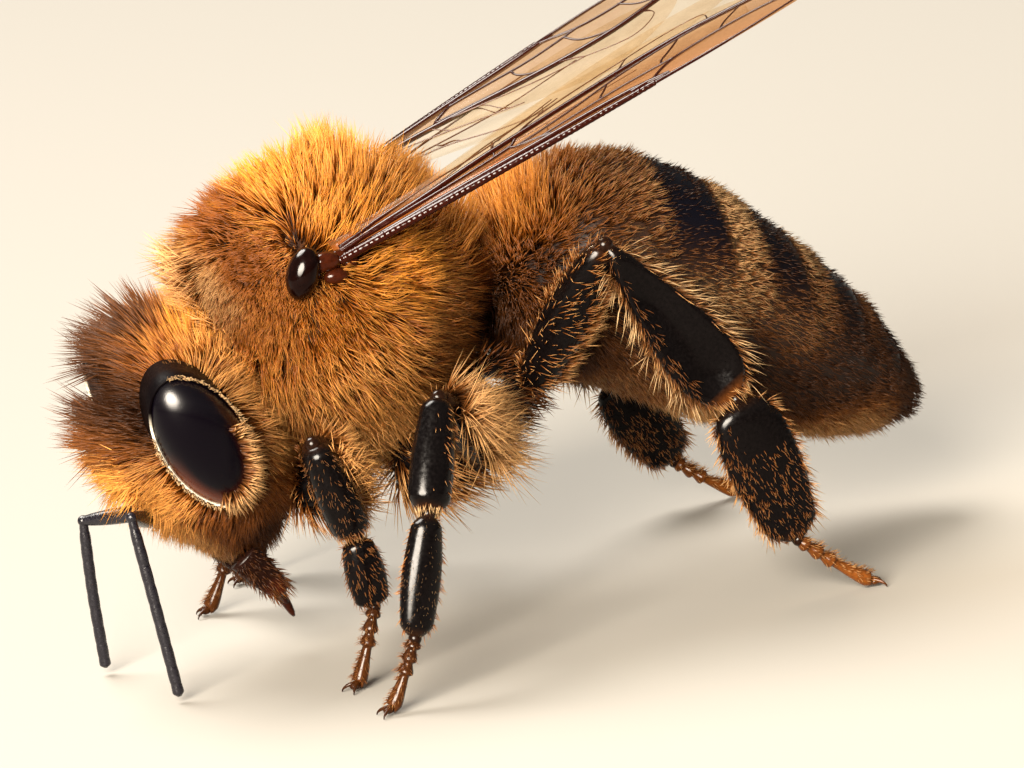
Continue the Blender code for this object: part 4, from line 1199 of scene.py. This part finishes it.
class BEE_OT_eyes(bpy.types.Operator):
    """Builds both compound eyes with their hairy rims, and the three small eyes on the crown"""

    bl_idname = "bee.eyes"
    bl_label = "Eyes"

    def execute(self, context):
        colours = context.scene.bee_colours
        material = shared_material("bee_eye_faceted_dome", eye_material, colours)
        hair = shared_hair(colours)
        edging = shared_shell("bee_eye_rim_chitin", "#040203", "#E2D8C4", 0.40, 0.60, 0.04, 0.4, 0.05)
        for number, (side, eye) in enumerate(eye_frames().items()):
            middle, up, ahead, out, halves = eye
            # Half of an egg: rings of a superellipse that shrink with the power 2.3 of their height off its base.
            shrink = np.cos(np.linspace(0, math.pi / 2, 40)) * 0.998 + 0.002
            base = middle - out * halves[2]
            path = base + out * dome_height(shrink, halves)[:, None]
            path = np.concatenate([(base - out * EYE_DEPTH)[None], path])
            shrink = np.concatenate([[1.0], shrink])
            angle = math.tau * np.arange(72) / 72
            oval = ahead * np.cos(angle)[:, None] * halves[1] + up * np.sin(angle)[:, None] * halves[0]
            grid = path[:, None] + oval[None] * shrink[:, None, None] * 1.01
            # The brown towards the dome's lower edge is partly the eye's fine hairs and partly painted light on them.
            rim = smooth(0.55, 0.95, shrink)[:, None] * smooth(0.35, -0.6, np.sin(angle))[None]
            # A thin raised line round the eye, pale along its front and lower edge.
            turn = math.tau * np.linspace(0, 1, 120)
            oval = ahead * (np.cos(turn) * halves[1])[:, None] + up * (np.sin(turn) * halves[0])[:, None]
            line = base + out * EYE_LINE + oval * 0.99
            pale = smooth(-0.15, 0.3, np.cos(turn + 0.35)) * smooth(0.75, 0.45, np.sin(turn))
            thin = np.full(120, 0.022)
            ring = closed_tube(carried(line, thin, thin, out, 8), material=1, joint=pale)
            egg = closed_tube(grid, joint=rim)
            height = (egg["points"][egg["faces"]].mean(1) - base) @ out
            egg["material"][height < EYE_WALL] = 1  # the wall below the line is dull shell
            egg["attributes"]["joint"] *= (egg["points"] - base) @ out > EYE_WALL
            dome = joined([egg, ring])
            add_piece(side + "_eye", dome, [material, edging], [side + "_compound_eye"])
            # The rim's bristles: short and pale in front and behind, longer and golden below.
            rng = np.random.default_rng(20 + number)
            count = RIM_BRISTLES
            a = rng.uniform(math.radians(95), math.radians(385), count)
            low = smooth(0.2, -0.5, np.sin(a)) * smooth(0.6, 0.0, np.cos(a))
            spread = 0.98 + 0.05 * rng.random(count) * (1 - low) - 0.24 * low * rng.random(count)
            radial, place = round_eye(eye, a, spread)
            over = np.where(low > 0.1, dome_height(spread, halves), EYE_LINE + 0.06 * rng.random(count))
            roots = base + place + out * over[:, None]
            growth = {
                "flow": unit(radial * (0.3 + low)[:, None] + out * 0.25),
                "length": 0.06 + 0.18 * low,
                "lean": np.radians(45 + 30 * low),
                "shade": 0.90 + 0.10 * low,
                "warmth": 0.05 + 0.35 * low,
            }
            uv = np.stack([a / BRISTLE_TURN, np.full(count, 0.5)], 1)
            rim_hair = hairs(roots, np.tile(out, (count, 1)), uv, growth, 0.009 + 0.002 * low, 0.09, 0.6, 0.1, rng)
            # A comb of stout golden bristles lies over the lower rear edge.
            count = COMB_BRISTLES
            a = np.linspace(math.radians(172), math.radians(292), count)
            spread = 0.64 + 0.12 * rng.random(count)
            radial, place = round_eye(eye, a, spread)
            roots = base + place + out * (dome_height(spread, halves) + 0.02)[:, None]
            growth = {
                "flow": unit(radial + out * 0.10),
                "length": 0.38,
                "lean": math.radians(82),
                "shade": 1.0,
                "warmth": 0.35,
            }
            uv = np.stack([a / BRISTLE_TURN, np.full(count, 0.5)], 1)
            comb = hairs(roots, np.tile(out, (count, 1)), uv, growth, 0.018, 0.09, 0.1, 0.0, rng)
            add_piece(side + "_eye_fringe", joined([rim_hair, comb]), [hair])
        ocelli = [closed_tube(blob(spot, np.full(3, OCELLUS_RADIUS))) for spot in OCELLI]
        add_piece("ocelli", joined(ocelli), [material])
        return {"FINISHED"}


class BEE_OT_antennae(bpy.types.Operator):
    """Builds the two elbowed feelers, with a scape and ten short joints each"""

    bl_idname = "bee.antennae"
    bl_label = "Feelers"

    def execute(self, context):
        colours = context.scene.bee_colours
        material = shared_shell("bee_feeler_chitin", "#100E15", colours.joint, 0.16, 0.40, 0.035, 1.0, 0.7, 0.8)
        for side, _ in SIDES:
            scape, whip = side + "_antenna_scape", side + "_antenna_flagellum"
            elbow = meeting(scape, whip)
            root = far_end(scape, elbow)
            root = root + unit(root - elbow) * ANTENNA_ROOT_DEPTH
            s = np.linspace(0, 1, 40)
            path = root + (elbow - root) * s[:, None]
            radius = SCAPE_RADIUS * (0.62 + 0.38 * np.sin(math.pi * np.clip(s * 1.05, 0, 1)) ** 0.7)
            parts = [closed_tube(carried(path, radius, radius, np.array([0.0, 0.0, 1.0])), joint=0.0)]
            # The whip bends a little towards its tip: a curve through its ends and the middle of its solid.
            tip = far_end(whip, elbow)
            middle = node_points(whip)
            middle = (middle.min(0) + middle.max(0)) / 2
            middle[0] = (elbow[0] + tip[0]) / 2 + 0.7 * (middle[0] - (elbow[0] + tip[0]) / 2)
            s = np.linspace(0, 1, FLAGELLUM_SEGMENTS * 14)
            path = curve_through([elbow, middle, tip], s * 2)
            # Each joint is a short barrel, narrow where it meets its neighbours.
            local = s * FLAGELLUM_SEGMENTS % 1.0
            barrel = 0.91 + 0.09 * np.sin(math.pi * local) ** 0.5
            radius = FLAGELLUM_RADIUS * barrel * (0.72 + 0.28 * smooth(0, 0.2, s))
            radius = radius * np.sqrt(np.clip(1 - smooth(0.96, 1.0, s) * 0.8, 0, 1))
            parts.append(closed_tube(carried(path, radius, radius, np.array([0.0, 1.0, 0.0]))))
            parts.append(closed_tube(blob(elbow, (0.085, 0.085, 0.085))))
            add_piece(side + "_antenna", joined(parts), [material], [scape, whip])
        return {"FINISHED"}


class BEE_OT_mouthparts(bpy.types.Operator):
    """Builds the jaws and the tongue with its sheaths"""

    bl_idname = "bee.mouthparts"
    bl_label = "Mouthparts"

    def execute(self, context):
        colours = context.scene.bee_colours
        material = shared_shell("bee_mouthpart_chitin", colours.mouth, "#3A160A", 0.20, 0.36, 0.06, 0.3, 0.25)
        hair = shared_hair(colours)
        for number, (side, sign) in enumerate(SIDES):
            node = side + "_mandible"
            middle, directions, halves = main_axes(node)
            down = directions[0] * -np.sign(directions[0][2])
            s = np.linspace(0, 1, 30)
            path = middle + down * ((s * 2 - 1.35) * halves[0])[:, None]
            wide = halves[1] * profile(JAW_SHAPE, s)[:, 0]
            grid = carried(path, wide, wide * 0.60, np.array([-1.0, 0.0, 0.2]))
            part = closed_tube(grid, joint=smooth(0.55, 0.85, s))
            add_piece(node + "_jaw", part, [material], [node])
            rng = np.random.default_rng(60 + number)
            normals = grid_normals(grid)
            weights = face_areas(grid) * (s[:-1] < 0.9)[:, None]
            roots, out, along, around = scatter(grid, normals, weights, JAW_HAIRS, rng)
            flow = unit(down - out * dots(out, down))
            growth = {
                "flow": flow,
                "length": 0.10 + 0.12 * along,
                "lean": math.radians(55),
                "shade": 0.03 + 0.45 * along**2 + 0.15 * rng.random(JAW_HAIRS),
                "warmth": 0.5,
            }
            tuft = hairs(roots, out, np.stack([along, around], 1), growth, 0.009, 0.1, 0.5, 0.2, rng)
            add_piece(node + "_hair", tuft, [hair])
        middle, directions, halves = main_axes("proboscis")
        down = directions[0] * -np.sign(directions[0][2])
        s = np.linspace(0, 1, 40)
        parts = []
        for sign, radius, end in TONGUE_TUBES:
            path = middle + down * ((s * (1 + end) - 1.2) * halves[0])[:, None]
            path[:, 1] += sign * 0.12 * np.sin(math.pi * np.clip(s * 0.8 + 0.1, 0, 1))
            taper = radius * (1.3 - 0.55 * s) * np.sqrt(1 - 0.9 * s**8)
            rings = carried(path, taper * 1.3, taper, np.array([0.0, 1.0, 0.0]), 16)
            parts.append(closed_tube(rings, joint=0.5 * s))
        add_piece("tongue", joined(parts), [material], ["proboscis"])
        return {"FINISHED"}


def wing_axes(wings, sign):
    """Directions of a wing: along it, across it towards the middle, and off its upper face."""
    flat = math.cos(wings.rise)
    along = np.array([flat * math.cos(wings.splay), -flat * math.sin(wings.splay), math.sin(wings.rise)])
    across = np.array([0.0, math.cos(wings.roll), -math.sin(wings.roll)])
    across = unit(across - along * (across @ along))
    off = np.cross(along, across)
    turn = np.array([1.0, -sign, 1.0])
    return along * turn, across * turn, off * turn


def forewing_edges(s):
    """Leading and trailing edge in wing widths: a nearly straight front, a widening rear and a round tip."""
    tip = np.sqrt(np.maximum(1 - np.maximum((s - 0.62) / 0.38, 0) ** 2.4, 0))
    lead = -0.06 * np.sin(math.pi * s) + 0.36 * (1 - tip)
    trail = 0.10 + 0.92 * (0.5 - 0.5 * np.cos(math.pi * np.minimum(s / 0.72, 1))) ** 1.15
    return lead, np.where(s > 0.62, 0.36 + (trail - 0.36) * tip, trail)


def hindwing_edges(s):
    """The same for a hind wing, which is broadest nearer its root."""
    tip = np.sqrt(np.maximum(1 - np.maximum((s - 0.55) / 0.45, 0) ** 2.2, 0))
    lead = -0.05 * np.sin(math.pi * s) + 0.35 * (1 - tip)
    trail = 0.14 + 0.86 * (0.5 - 0.5 * np.cos(math.pi * np.minimum(s / 0.55, 1)))
    return lead, np.where(s > 0.55, 0.35 + (trail - 0.35) * tip, trail)


def wing_point(axes, hinge, length, width, edges, lift, s, chord):
    """Point of a wing at a share of its length and a share of its chord.

    It lies in the wing's plane by its two edges, lifted from the leading edge over the fold to the trailing edge,
    with waves that run along the wing.
    """
    along, across, off = axes
    lead, trail = edges(s)
    c = (lead + (trail - lead) * chord) * width
    height = np.interp(chord, (0.0, WING_FOLD, 1.0), lift) - 0.03 * smooth(0.25, 0.0, np.abs(chord - WING_FOLD))
    height = height + WING_SAG * np.sin(chord * math.tau * 2.2) * np.sin(math.pi * np.clip(s, 0, 1))
    return hinge + along * (s * length)[..., None] + across * c[..., None] + off * height[..., None]


class BEE_OT_wings(bpy.types.Operator):
    """Builds fore and hind wings as thin clear foils with raised veins"""

    bl_idname = "bee.wings"
    bl_label = "Wings"

    def execute(self, context):
        colours, wings = context.scene.bee_colours, context.scene.bee_wings
        foil = shared_material("bee_wing_membrane", membrane_material, colours)
        vein = shared_shell("bee_wing_vein", colours.vein, "#4A2A14", 0.12, 0.22, 0.05, 0.10, 0.50)
        for side, sign in SIDES:
            axes = wing_axes(wings, sign)
            hinge = np.array(FOREWING_HINGE) * (1.0, sign, 1.0)
            under = hinge + axes[0] * HINDWING_SHIFT[0] + axes[1] * HINDWING_SHIFT[1]
            fore_lift = WING_LIFT[side]
            under_lift = np.interp((0.2, 0.5, 0.9), (0.0, WING_FOLD, 1.0), fore_lift) - 0.06
            fore_size = np.array([wings.fore_length, wings.fore_width])
            hind_size = np.array([wings.hind_length, wings.hind_width])
            for name, origin, size, edges, veins, lift in (
                ("forewing", hinge, fore_size, forewing_edges, FOREWING_VEINS, fore_lift),
                ("hindwing", under, hind_size, hindwing_edges, HINDWING_VEINS, under_lift),
            ):
                length, width = size / MM
                s = 1 - (1 - np.linspace(0, 1, 110)) ** 1.4
                s = np.clip(s, 0.0, 0.9985)
                chord = np.linspace(0, 1, 36)
                flat = wing_point(axes, origin, length, width, edges, lift, s[:, None], chord[None])
                half = axes[2] * WING_LAYER / 2
                grid = np.concatenate([flat + half, (flat - half)[:, ::-1]], axis=1)
                # The left forewing's extra density is painted shade of a foil seen nearly edge-on.
                dense = smooth(WING_FOLD + 0.06, WING_FOLD - 0.06, chord) * FOREWING_DENSITY_AND_SHADE[side]
                dense = dense * (1.1 - 0.9 * chord)  # palest beside the fold
                dense = dense[None] * (name == "forewing") * (1 - 0.5 * s[:, None])  # paler to the tip
                dense = dense + 0.5 * smooth(0.22, 0.02, s)[:, None]  # and dark at the root
                dense = np.clip(np.concatenate([dense, dense[:, ::-1]], axis=1), 0, 1)
                parts = [closed_tube(grid, joint=dense)]
                for *points, thick, thin in veins.values():
                    steps = np.linspace(0, len(points) - 1, (110 if thick > 0.04 else 14) * len(points))
                    route = curve_through(points, steps)
                    path = wing_point(axes, origin, length, width, edges, lift, route[:, 0], route[:, 1])
                    radius = np.linspace(thick, thin, len(steps))
                    behind = smooth(WING_FOLD + 0.02, WING_FOLD + 0.14, route[:, 1])
                    behind = behind if name == "forewing" else np.full(len(steps), 0.8)
                    radius = radius * (1.15 - 0.55 * behind)
                    if thick > 0.08:  # the forewing's front vein carries a row of tiny knobs that come and go
                        far = route[:, 0] * length * math.tau
                        height = 0.5 + 0.3 * np.sin(far / 0.62) + 0.2 * np.sin(far / 0.23)
                        radius = radius * (1 + 0.055 * height * np.sin(far / KNOB_SPACING))
                    rings = carried(path, radius * 1.15, radius * 0.8, axes[1], 10)
                    parts.append(closed_tube(rings, material=1, joint=behind))
                add_piece(f"{side}_{name}_foil", joined(parts), [foil, vein], [f"{side}_{name}"])
        return {"FINISHED"}


class BEE_OT_wing_bases(bpy.types.Operator):
    """Builds the scale over each forewing's hinge and the small plates that carry the wing"""

    bl_idname = "bee.wing_bases"
    bl_label = "Wing Bases"

    def execute(self, context):
        material = shared_shell("bee_tegula_chitin", "#0C0302", "#5A240C", 0.10, 0.18, 0.09, 0.10, 0.45)
        for side, sign in SIDES:
            low, high = (np.array(k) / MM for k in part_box(side + "_tegula"))
            turned = np.array([1.0, sign, 1.0])
            middle = (low + high) / 2 + SCALE_SHIFT * turned
            grids = [blob(middle + (-0.02, 0, 0), SCALE_RADII, 26, 40, SCALE_TILT)]
            for place, size in HINGE_PLATES:
                grids.append(blob(middle + place * turned, (size * 1.3, size * 0.8, size * 0.8)))
            part = joined([closed_tube(g, joint=0.22 * (k > 0)) for k, g in enumerate(grids)])
            add_piece(side + "_wing_scale", part, [material], [side + "_tegula"])
        return {"FINISHED"}


def leg_chain(side, pair):
    """The leg's joints from hip to toe, where its solids meet."""
    names = [f"{side}_{pair}_{segment}" for segment in SEGMENTS]
    joints = [meeting(a, b) for a, b in zip(names, names[1:])]
    hip = far_end(names[0], joints[0])
    return names, [hip, *joints, far_end(names[-1], joints[-1])]


def segment_grid(pair, segment, start, end, points, sign, rows=36, cols=40):
    """One leg segment: superellipses along its line, with half sizes in shares of the solid's own.

    The hind tibia's outer face is hollowed by dent (1 - c^2)^1.5, where c runs from -1 to 1 across it.
    """
    axis = unit(end - start)
    outwards = np.array([0.0, sign, 0.0])
    broad = unit(np.cross(outwards, axis))
    facing = np.cross(axis, broad)
    facing = facing * np.sign(facing @ outwards)
    rel = points - (start + end) / 2
    middle = np.abs(rel @ axis) < 0.35 * np.linalg.norm(end - start)
    rel = rel[middle] if middle.sum() > 6 else rel
    half_wide, half_thick = np.abs(rel @ broad).max(), np.abs(rel @ facing).max()
    key = f"{pair}_{segment}" if f"{pair}_{segment}" in SEGMENT_SHAPES else segment
    s = 0.5 - 0.5 * np.cos(np.linspace(0, math.pi, rows))
    wide, thick = profile(SEGMENT_SHAPES[key], s).T
    ends = np.sqrt(np.clip(1 - (np.abs(s * 2 - 1)) ** 16, 0.05, 1))
    path = start + (end - start) * s[:, None]
    angle = math.tau * np.arange(cols) / cols
    c, u = np.cos(angle), np.sin(angle)
    power = 0.8 if pair == "hind" and segment in ("tibia", "basitarsus") else 1.0
    rise = np.sign(u) * np.abs(u) ** power
    grid = path[:, None] + broad * (half_wide * (wide * ends)[:, None] * c[None])[..., None]
    up = half_thick * (thick * ends)[:, None] * rise[None]
    if key == "hind_tibia":
        up = up - BASKET_DENT * smooth(0.05, 0.4, s)[:, None] * smooth(1.0, 0.8, s)[:, None] * (
            np.where(u > 0, (1 - c**2) ** 1.5, 0)
        )[None]
    return grid + facing * up[..., None], s


def foot_parts(heel, toe, tone):
    """The small segments of the foot, each wider at its far end, the pad, and two claws on a quarter circle."""
    s = np.linspace(0, 1, 64)
    edges = np.array(TARSUS_JOINTS)
    number = np.clip(np.searchsorted(edges, s, side="right") - 1, 0, len(edges) - 2)
    local = (s - edges[number]) / (edges[number + 1] - edges[number])
    radius = TARSUS_RADIUS * (0.62 + 0.42 * smooth(0.0, 0.8, local) - 0.25 * smooth(0.85, 1.0, local))
    end = toe.copy()
    end[2] = max(toe[2], TARSUS_RADIUS * 0.9)
    middle = (heel + end) / 2 + np.array([0.0, 0.0, -0.04])
    path = curve_through([heel, middle, end], s * 2)
    path[:, 2] = np.maximum(path[:, 2], TARSUS_RADIUS)
    amber = tone * (0.45 + 0.5 * smooth(0.0, 1.0, s))
    side_way = np.array([0.0, 1.0, 0.0])
    shaft = carried(path, radius, radius * 0.9, side_way, 20)
    parts = [closed_tube(shaft, joint=amber)]
    ahead = unit(end - heel)
    level = unit(ahead * (1.0, 1.0, 0.0) + 1e-6)
    across = np.cross(level, (0.0, 0.0, 1.0))
    pad = blob(path[-1] + level * 0.07 - (0, 0, 0.035), (0.085, 0.085, 0.055), 12, 18)
    parts.append(closed_tube(pad, joint=0.5 * tone))
    t = np.linspace(0, 1, 16)
    for hand in (-1, 1):
        splay = unit(level + across * 0.75 * hand)
        claw = path[-1] + splay * (CLAW_LENGTH * np.sin(t * math.pi / 2))[:, None]
        claw[:, 2] = path[-1][2] - (path[-1][2] - 0.012) * (1 - np.cos(t * math.pi / 2))
        thick = 0.042 * (1 - 0.85 * t)
        rings = carried(claw, thick, thick, np.array([0.0, 0.0, 1.0]), 10)
        parts.append(closed_tube(rings, joint=tone * (0.9 - 0.7 * t)))
    return parts, shaft, s


def leg_hair(pair, place, grid, s, sign, sizes, rng):
    """Hair of one leg segment. It lies towards the foot, swept as LEG_COATS says."""
    normals = grid_normals(grid)
    across = np.cos(math.tau * np.arange(grid.shape[1]) / grid.shape[1])
    faces = {
        "all": np.ones(across.shape)[None],
        "edges": smooth(0.88, 0.98, np.abs(across))[None],
        "front": smooth(0.30, 0.70, across * sign)[None],
        "rear": smooth(-0.10, 0.50, normals[:-1, :, 0]),
        "top": smooth(-0.30, 0.30, normals[:-1, :, 2]),
    }
    axis = unit(grid[-1].mean(0) - grid[0].mean(0))
    areas = face_areas(grid)
    middle = (s[1:] + s[:-1])[:, None] / 2
    coats = []
    for row in LEG_COATS:
        if row[:2] != (pair, SEGMENTS[place]):
            continue
        start, end, share, length, lean, shade, warmth, where, radius, sweep = row[2:]
        weights = areas * faces[where] * ((middle > start) & (middle < end))
        count = int(sizes.leg_hairs * share)
        roots, out, along, around = scatter(grid, normals, weights, count, rng)
        flow = axis + np.array(sweep) * (1.0, sign, 1.0) + np.zeros((count, 3))
        flow = unit(flow - out * dots(flow, out))
        growth = {
            "flow": flow,
            "length": length * sizes.length_scale,
            "lean": math.radians(lean),
            "shade": shade,
            "warmth": warmth,
        }
        uv = np.stack([(place + along) / len(SEGMENTS), around], 1)
        coats.append(hairs(roots, out, uv, growth, radius, 0.12, 0.55, 0.22, rng))
    return coats


class BEE_OT_legs(bpy.types.Operator):
    """Builds six legs, each one piece from hip to claws, with the hollowed pollen basket on the hind pair"""

    bl_idname = "bee.legs"
    bl_label = "Legs"

    def execute(self, context):
        sizes, colours = context.scene.bee_sizes, context.scene.bee_colours
        material = leg_shell(colours)
        hair = shared_hair(colours)
        for number, (side, sign) in enumerate(SIDES):
            for k, pair in enumerate(LEG_PAIRS):
                names, chain = leg_chain(side, pair)
                rng = np.random.default_rng(300 + 10 * number + k)
                parts, coats = [], []
                for place, segment in enumerate(SEGMENTS[:-1]):
                    start, end = chain[place], chain[place + 1]
                    grid, s = segment_grid(pair, segment, start, end, node_points(names[place]), sign)
                    amber = 0.60 if (pair, segment) == ("hind", "tibia") else 0.08
                    near_joint = amber * smooth(0.91, 0.97, s) + 0.05 * smooth(0.08, 0.0, s)
                    box = (place / len(SEGMENTS), 0.0, (place + 1) / len(SEGMENTS), 1.0)
                    parts.append(closed_tube(grid, box, joint=near_joint))
                    coats += leg_hair(pair, place, grid, s, sign, sizes, rng)
                    knuckle = blob(end, np.full(3, KNUCKLES[place]), 12, 16)
                    parts.append(closed_tube(knuckle, joint=0.05))
                foot, shaft, s = foot_parts(chain[-2], chain[-1], 1.0 if pair == "hind" else 0.35)
                parts += foot
                coats += leg_hair(pair, len(SEGMENTS) - 1, shaft, s, sign, sizes, rng)
                add_piece(f"{side}_{pair}_leg", joined(parts), [material], names)
                add_piece(f"{side}_{pair}_leg_hair", joined(coats), [hair])
        return {"FINISHED"}


class BEE_OT_stage(bpy.types.Operator):
    """Builds the floor, the lights and the camera"""

    bl_idname = "bee.stage"
    bl_label = "Stage"

    def execute(self, context):
        scene, stage, colours = context.scene, context.scene.bee_stage, context.scene.bee_colours
        angle = math.tau * np.arange(96) / 96
        radius = stage.floor_radius / MM
        rim = np.stack([np.cos(angle) * radius, np.sin(angle) * radius, angle * 0], 1)
        mesh = bpy.data.meshes.new("floor")
        mesh.from_pydata((rim * MM).tolist(), [], [list(range(96))])
        mesh.materials.append(floor_material(colours))
        floor = bpy.data.objects.new("floor", mesh)
        scene.collection.objects.link(floor)

        world = bpy.data.worlds.new("studio")
        world.use_nodes = True
        world.node_tree.nodes.clear()
        even = add_node(
            world.node_tree, "ShaderNodeBackground", {"Color": linear("#EFEDE8"), "Strength": stage.world_strength}
        )
        add_node(world.node_tree, "ShaderNodeOutputWorld", {"Surface": even.outputs[0]})
        scene.world = world
        scene.view_settings.view_transform = "Standard"

        middle = Vector([place * MM for place in CAMERA_TARGET])
        for name, way, reach, size, power, colour in (
            ("key_light", (-0.60, -0.70, 0.42), 158 * MM, 104 * MM, stage.key_power, "#FFF2E0"),
            ("top_light", (-0.25, 0.45, 0.86), 200 * MM, 130 * MM, stage.top_power, "#FFF8EE"),
        ):
            lamp = bpy.data.lights.new(name, "AREA")
            lamp.shape, lamp.size, lamp.energy = "DISK", size, power
            lamp.color = linear(colour)[:3]
            holder = bpy.data.objects.new(name, lamp)
            holder.location = middle + Vector(way).normalized() * reach
            holder.rotation_euler = Vector(way).to_track_quat("Z", "Y").to_euler()
            scene.collection.objects.link(holder)

        turn, climb, roll = -stage.azimuth, stage.elevation, stage.roll
        right = Vector((math.cos(turn), -math.sin(turn), 0.0))
        ahead = Vector((math.sin(turn) * math.cos(climb), math.cos(turn) * math.cos(climb), -math.sin(climb)))
        upright = right.cross(ahead)
        rolled_right = right * math.cos(roll) - upright * math.sin(roll)
        rolled_up = right * math.sin(roll) + upright * math.cos(roll)
        camera = bpy.data.objects.new("camera", bpy.data.cameras.new("camera"))
        camera.data.sensor_width = 36.0
        camera.data.lens = 36.0 * stage.distance / stage.view_width
        camera.data.clip_start, camera.data.clip_end = 1 * MM, 10.0
        axes = Matrix((rolled_right, rolled_up, -ahead)).transposed().to_4x4()
        camera.matrix_world = Matrix.Translation(middle - ahead * stage.distance) @ axes
        scene.collection.objects.link(camera)
        scene.camera = camera
        return {"FINISHED"}


class BEE_PT_panel(bpy.types.Panel):
    """Lists the sizes, the colours and the pieces of the bee"""

    bl_label = "Honey Bee"
    bl_space_type = "VIEW_3D"
    bl_region_type = "UI"
    bl_category = "Bee"

    def draw(self, context):
        for name in GROUPS:
            group, box = getattr(context.scene, name), self.layout.box()
            for key in group.__annotations__:
                box.prop(group, key)
        for operator in OPERATORS:
            self.layout.operator(operator.bl_idname)


OPERATORS = (
    BEE_OT_stage, BEE_OT_body_skin, BEE_OT_eyes, BEE_OT_antennae, BEE_OT_mouthparts, BEE_OT_wing_bases, BEE_OT_wings,
    BEE_OT_legs, BEE_OT_body_coat,
)
GROUPS = {"bee_sizes": BeeSizes, "bee_wings": WingSizes, "bee_colours": BeeColours, "bee_stage": StageSizes}


def register():
    """Registers every class, and puts the groups of properties on the scene."""
    for made in (*GROUPS.values(), *OPERATORS, BEE_PT_panel):
        bpy.utils.register_class(made)
    for name, group in GROUPS.items():
        setattr(bpy.types.Scene, name, bpy.props.PointerProperty(type=group))


def unregister():
    """Takes the groups off the scene again, then the classes."""
    for name in GROUPS:
        delattr(bpy.types.Scene, name)
    for made in reversed((*GROUPS.values(), *OPERATORS, BEE_PT_panel)):
        bpy.utils.unregister_class(made)


def main():
    """Builds the whole scene by its operators."""
    register()
    bpy.ops.bee.stage()
    bpy.ops.bee.body_skin()
    bpy.ops.bee.eyes()
    bpy.ops.bee.antennae()
    bpy.ops.bee.mouthparts()
    bpy.ops.bee.wing_bases()
    bpy.ops.bee.wings()
    bpy.ops.bee.legs()
    bpy.ops.bee.body_coat()


if __name__ == "__main__":
    main()
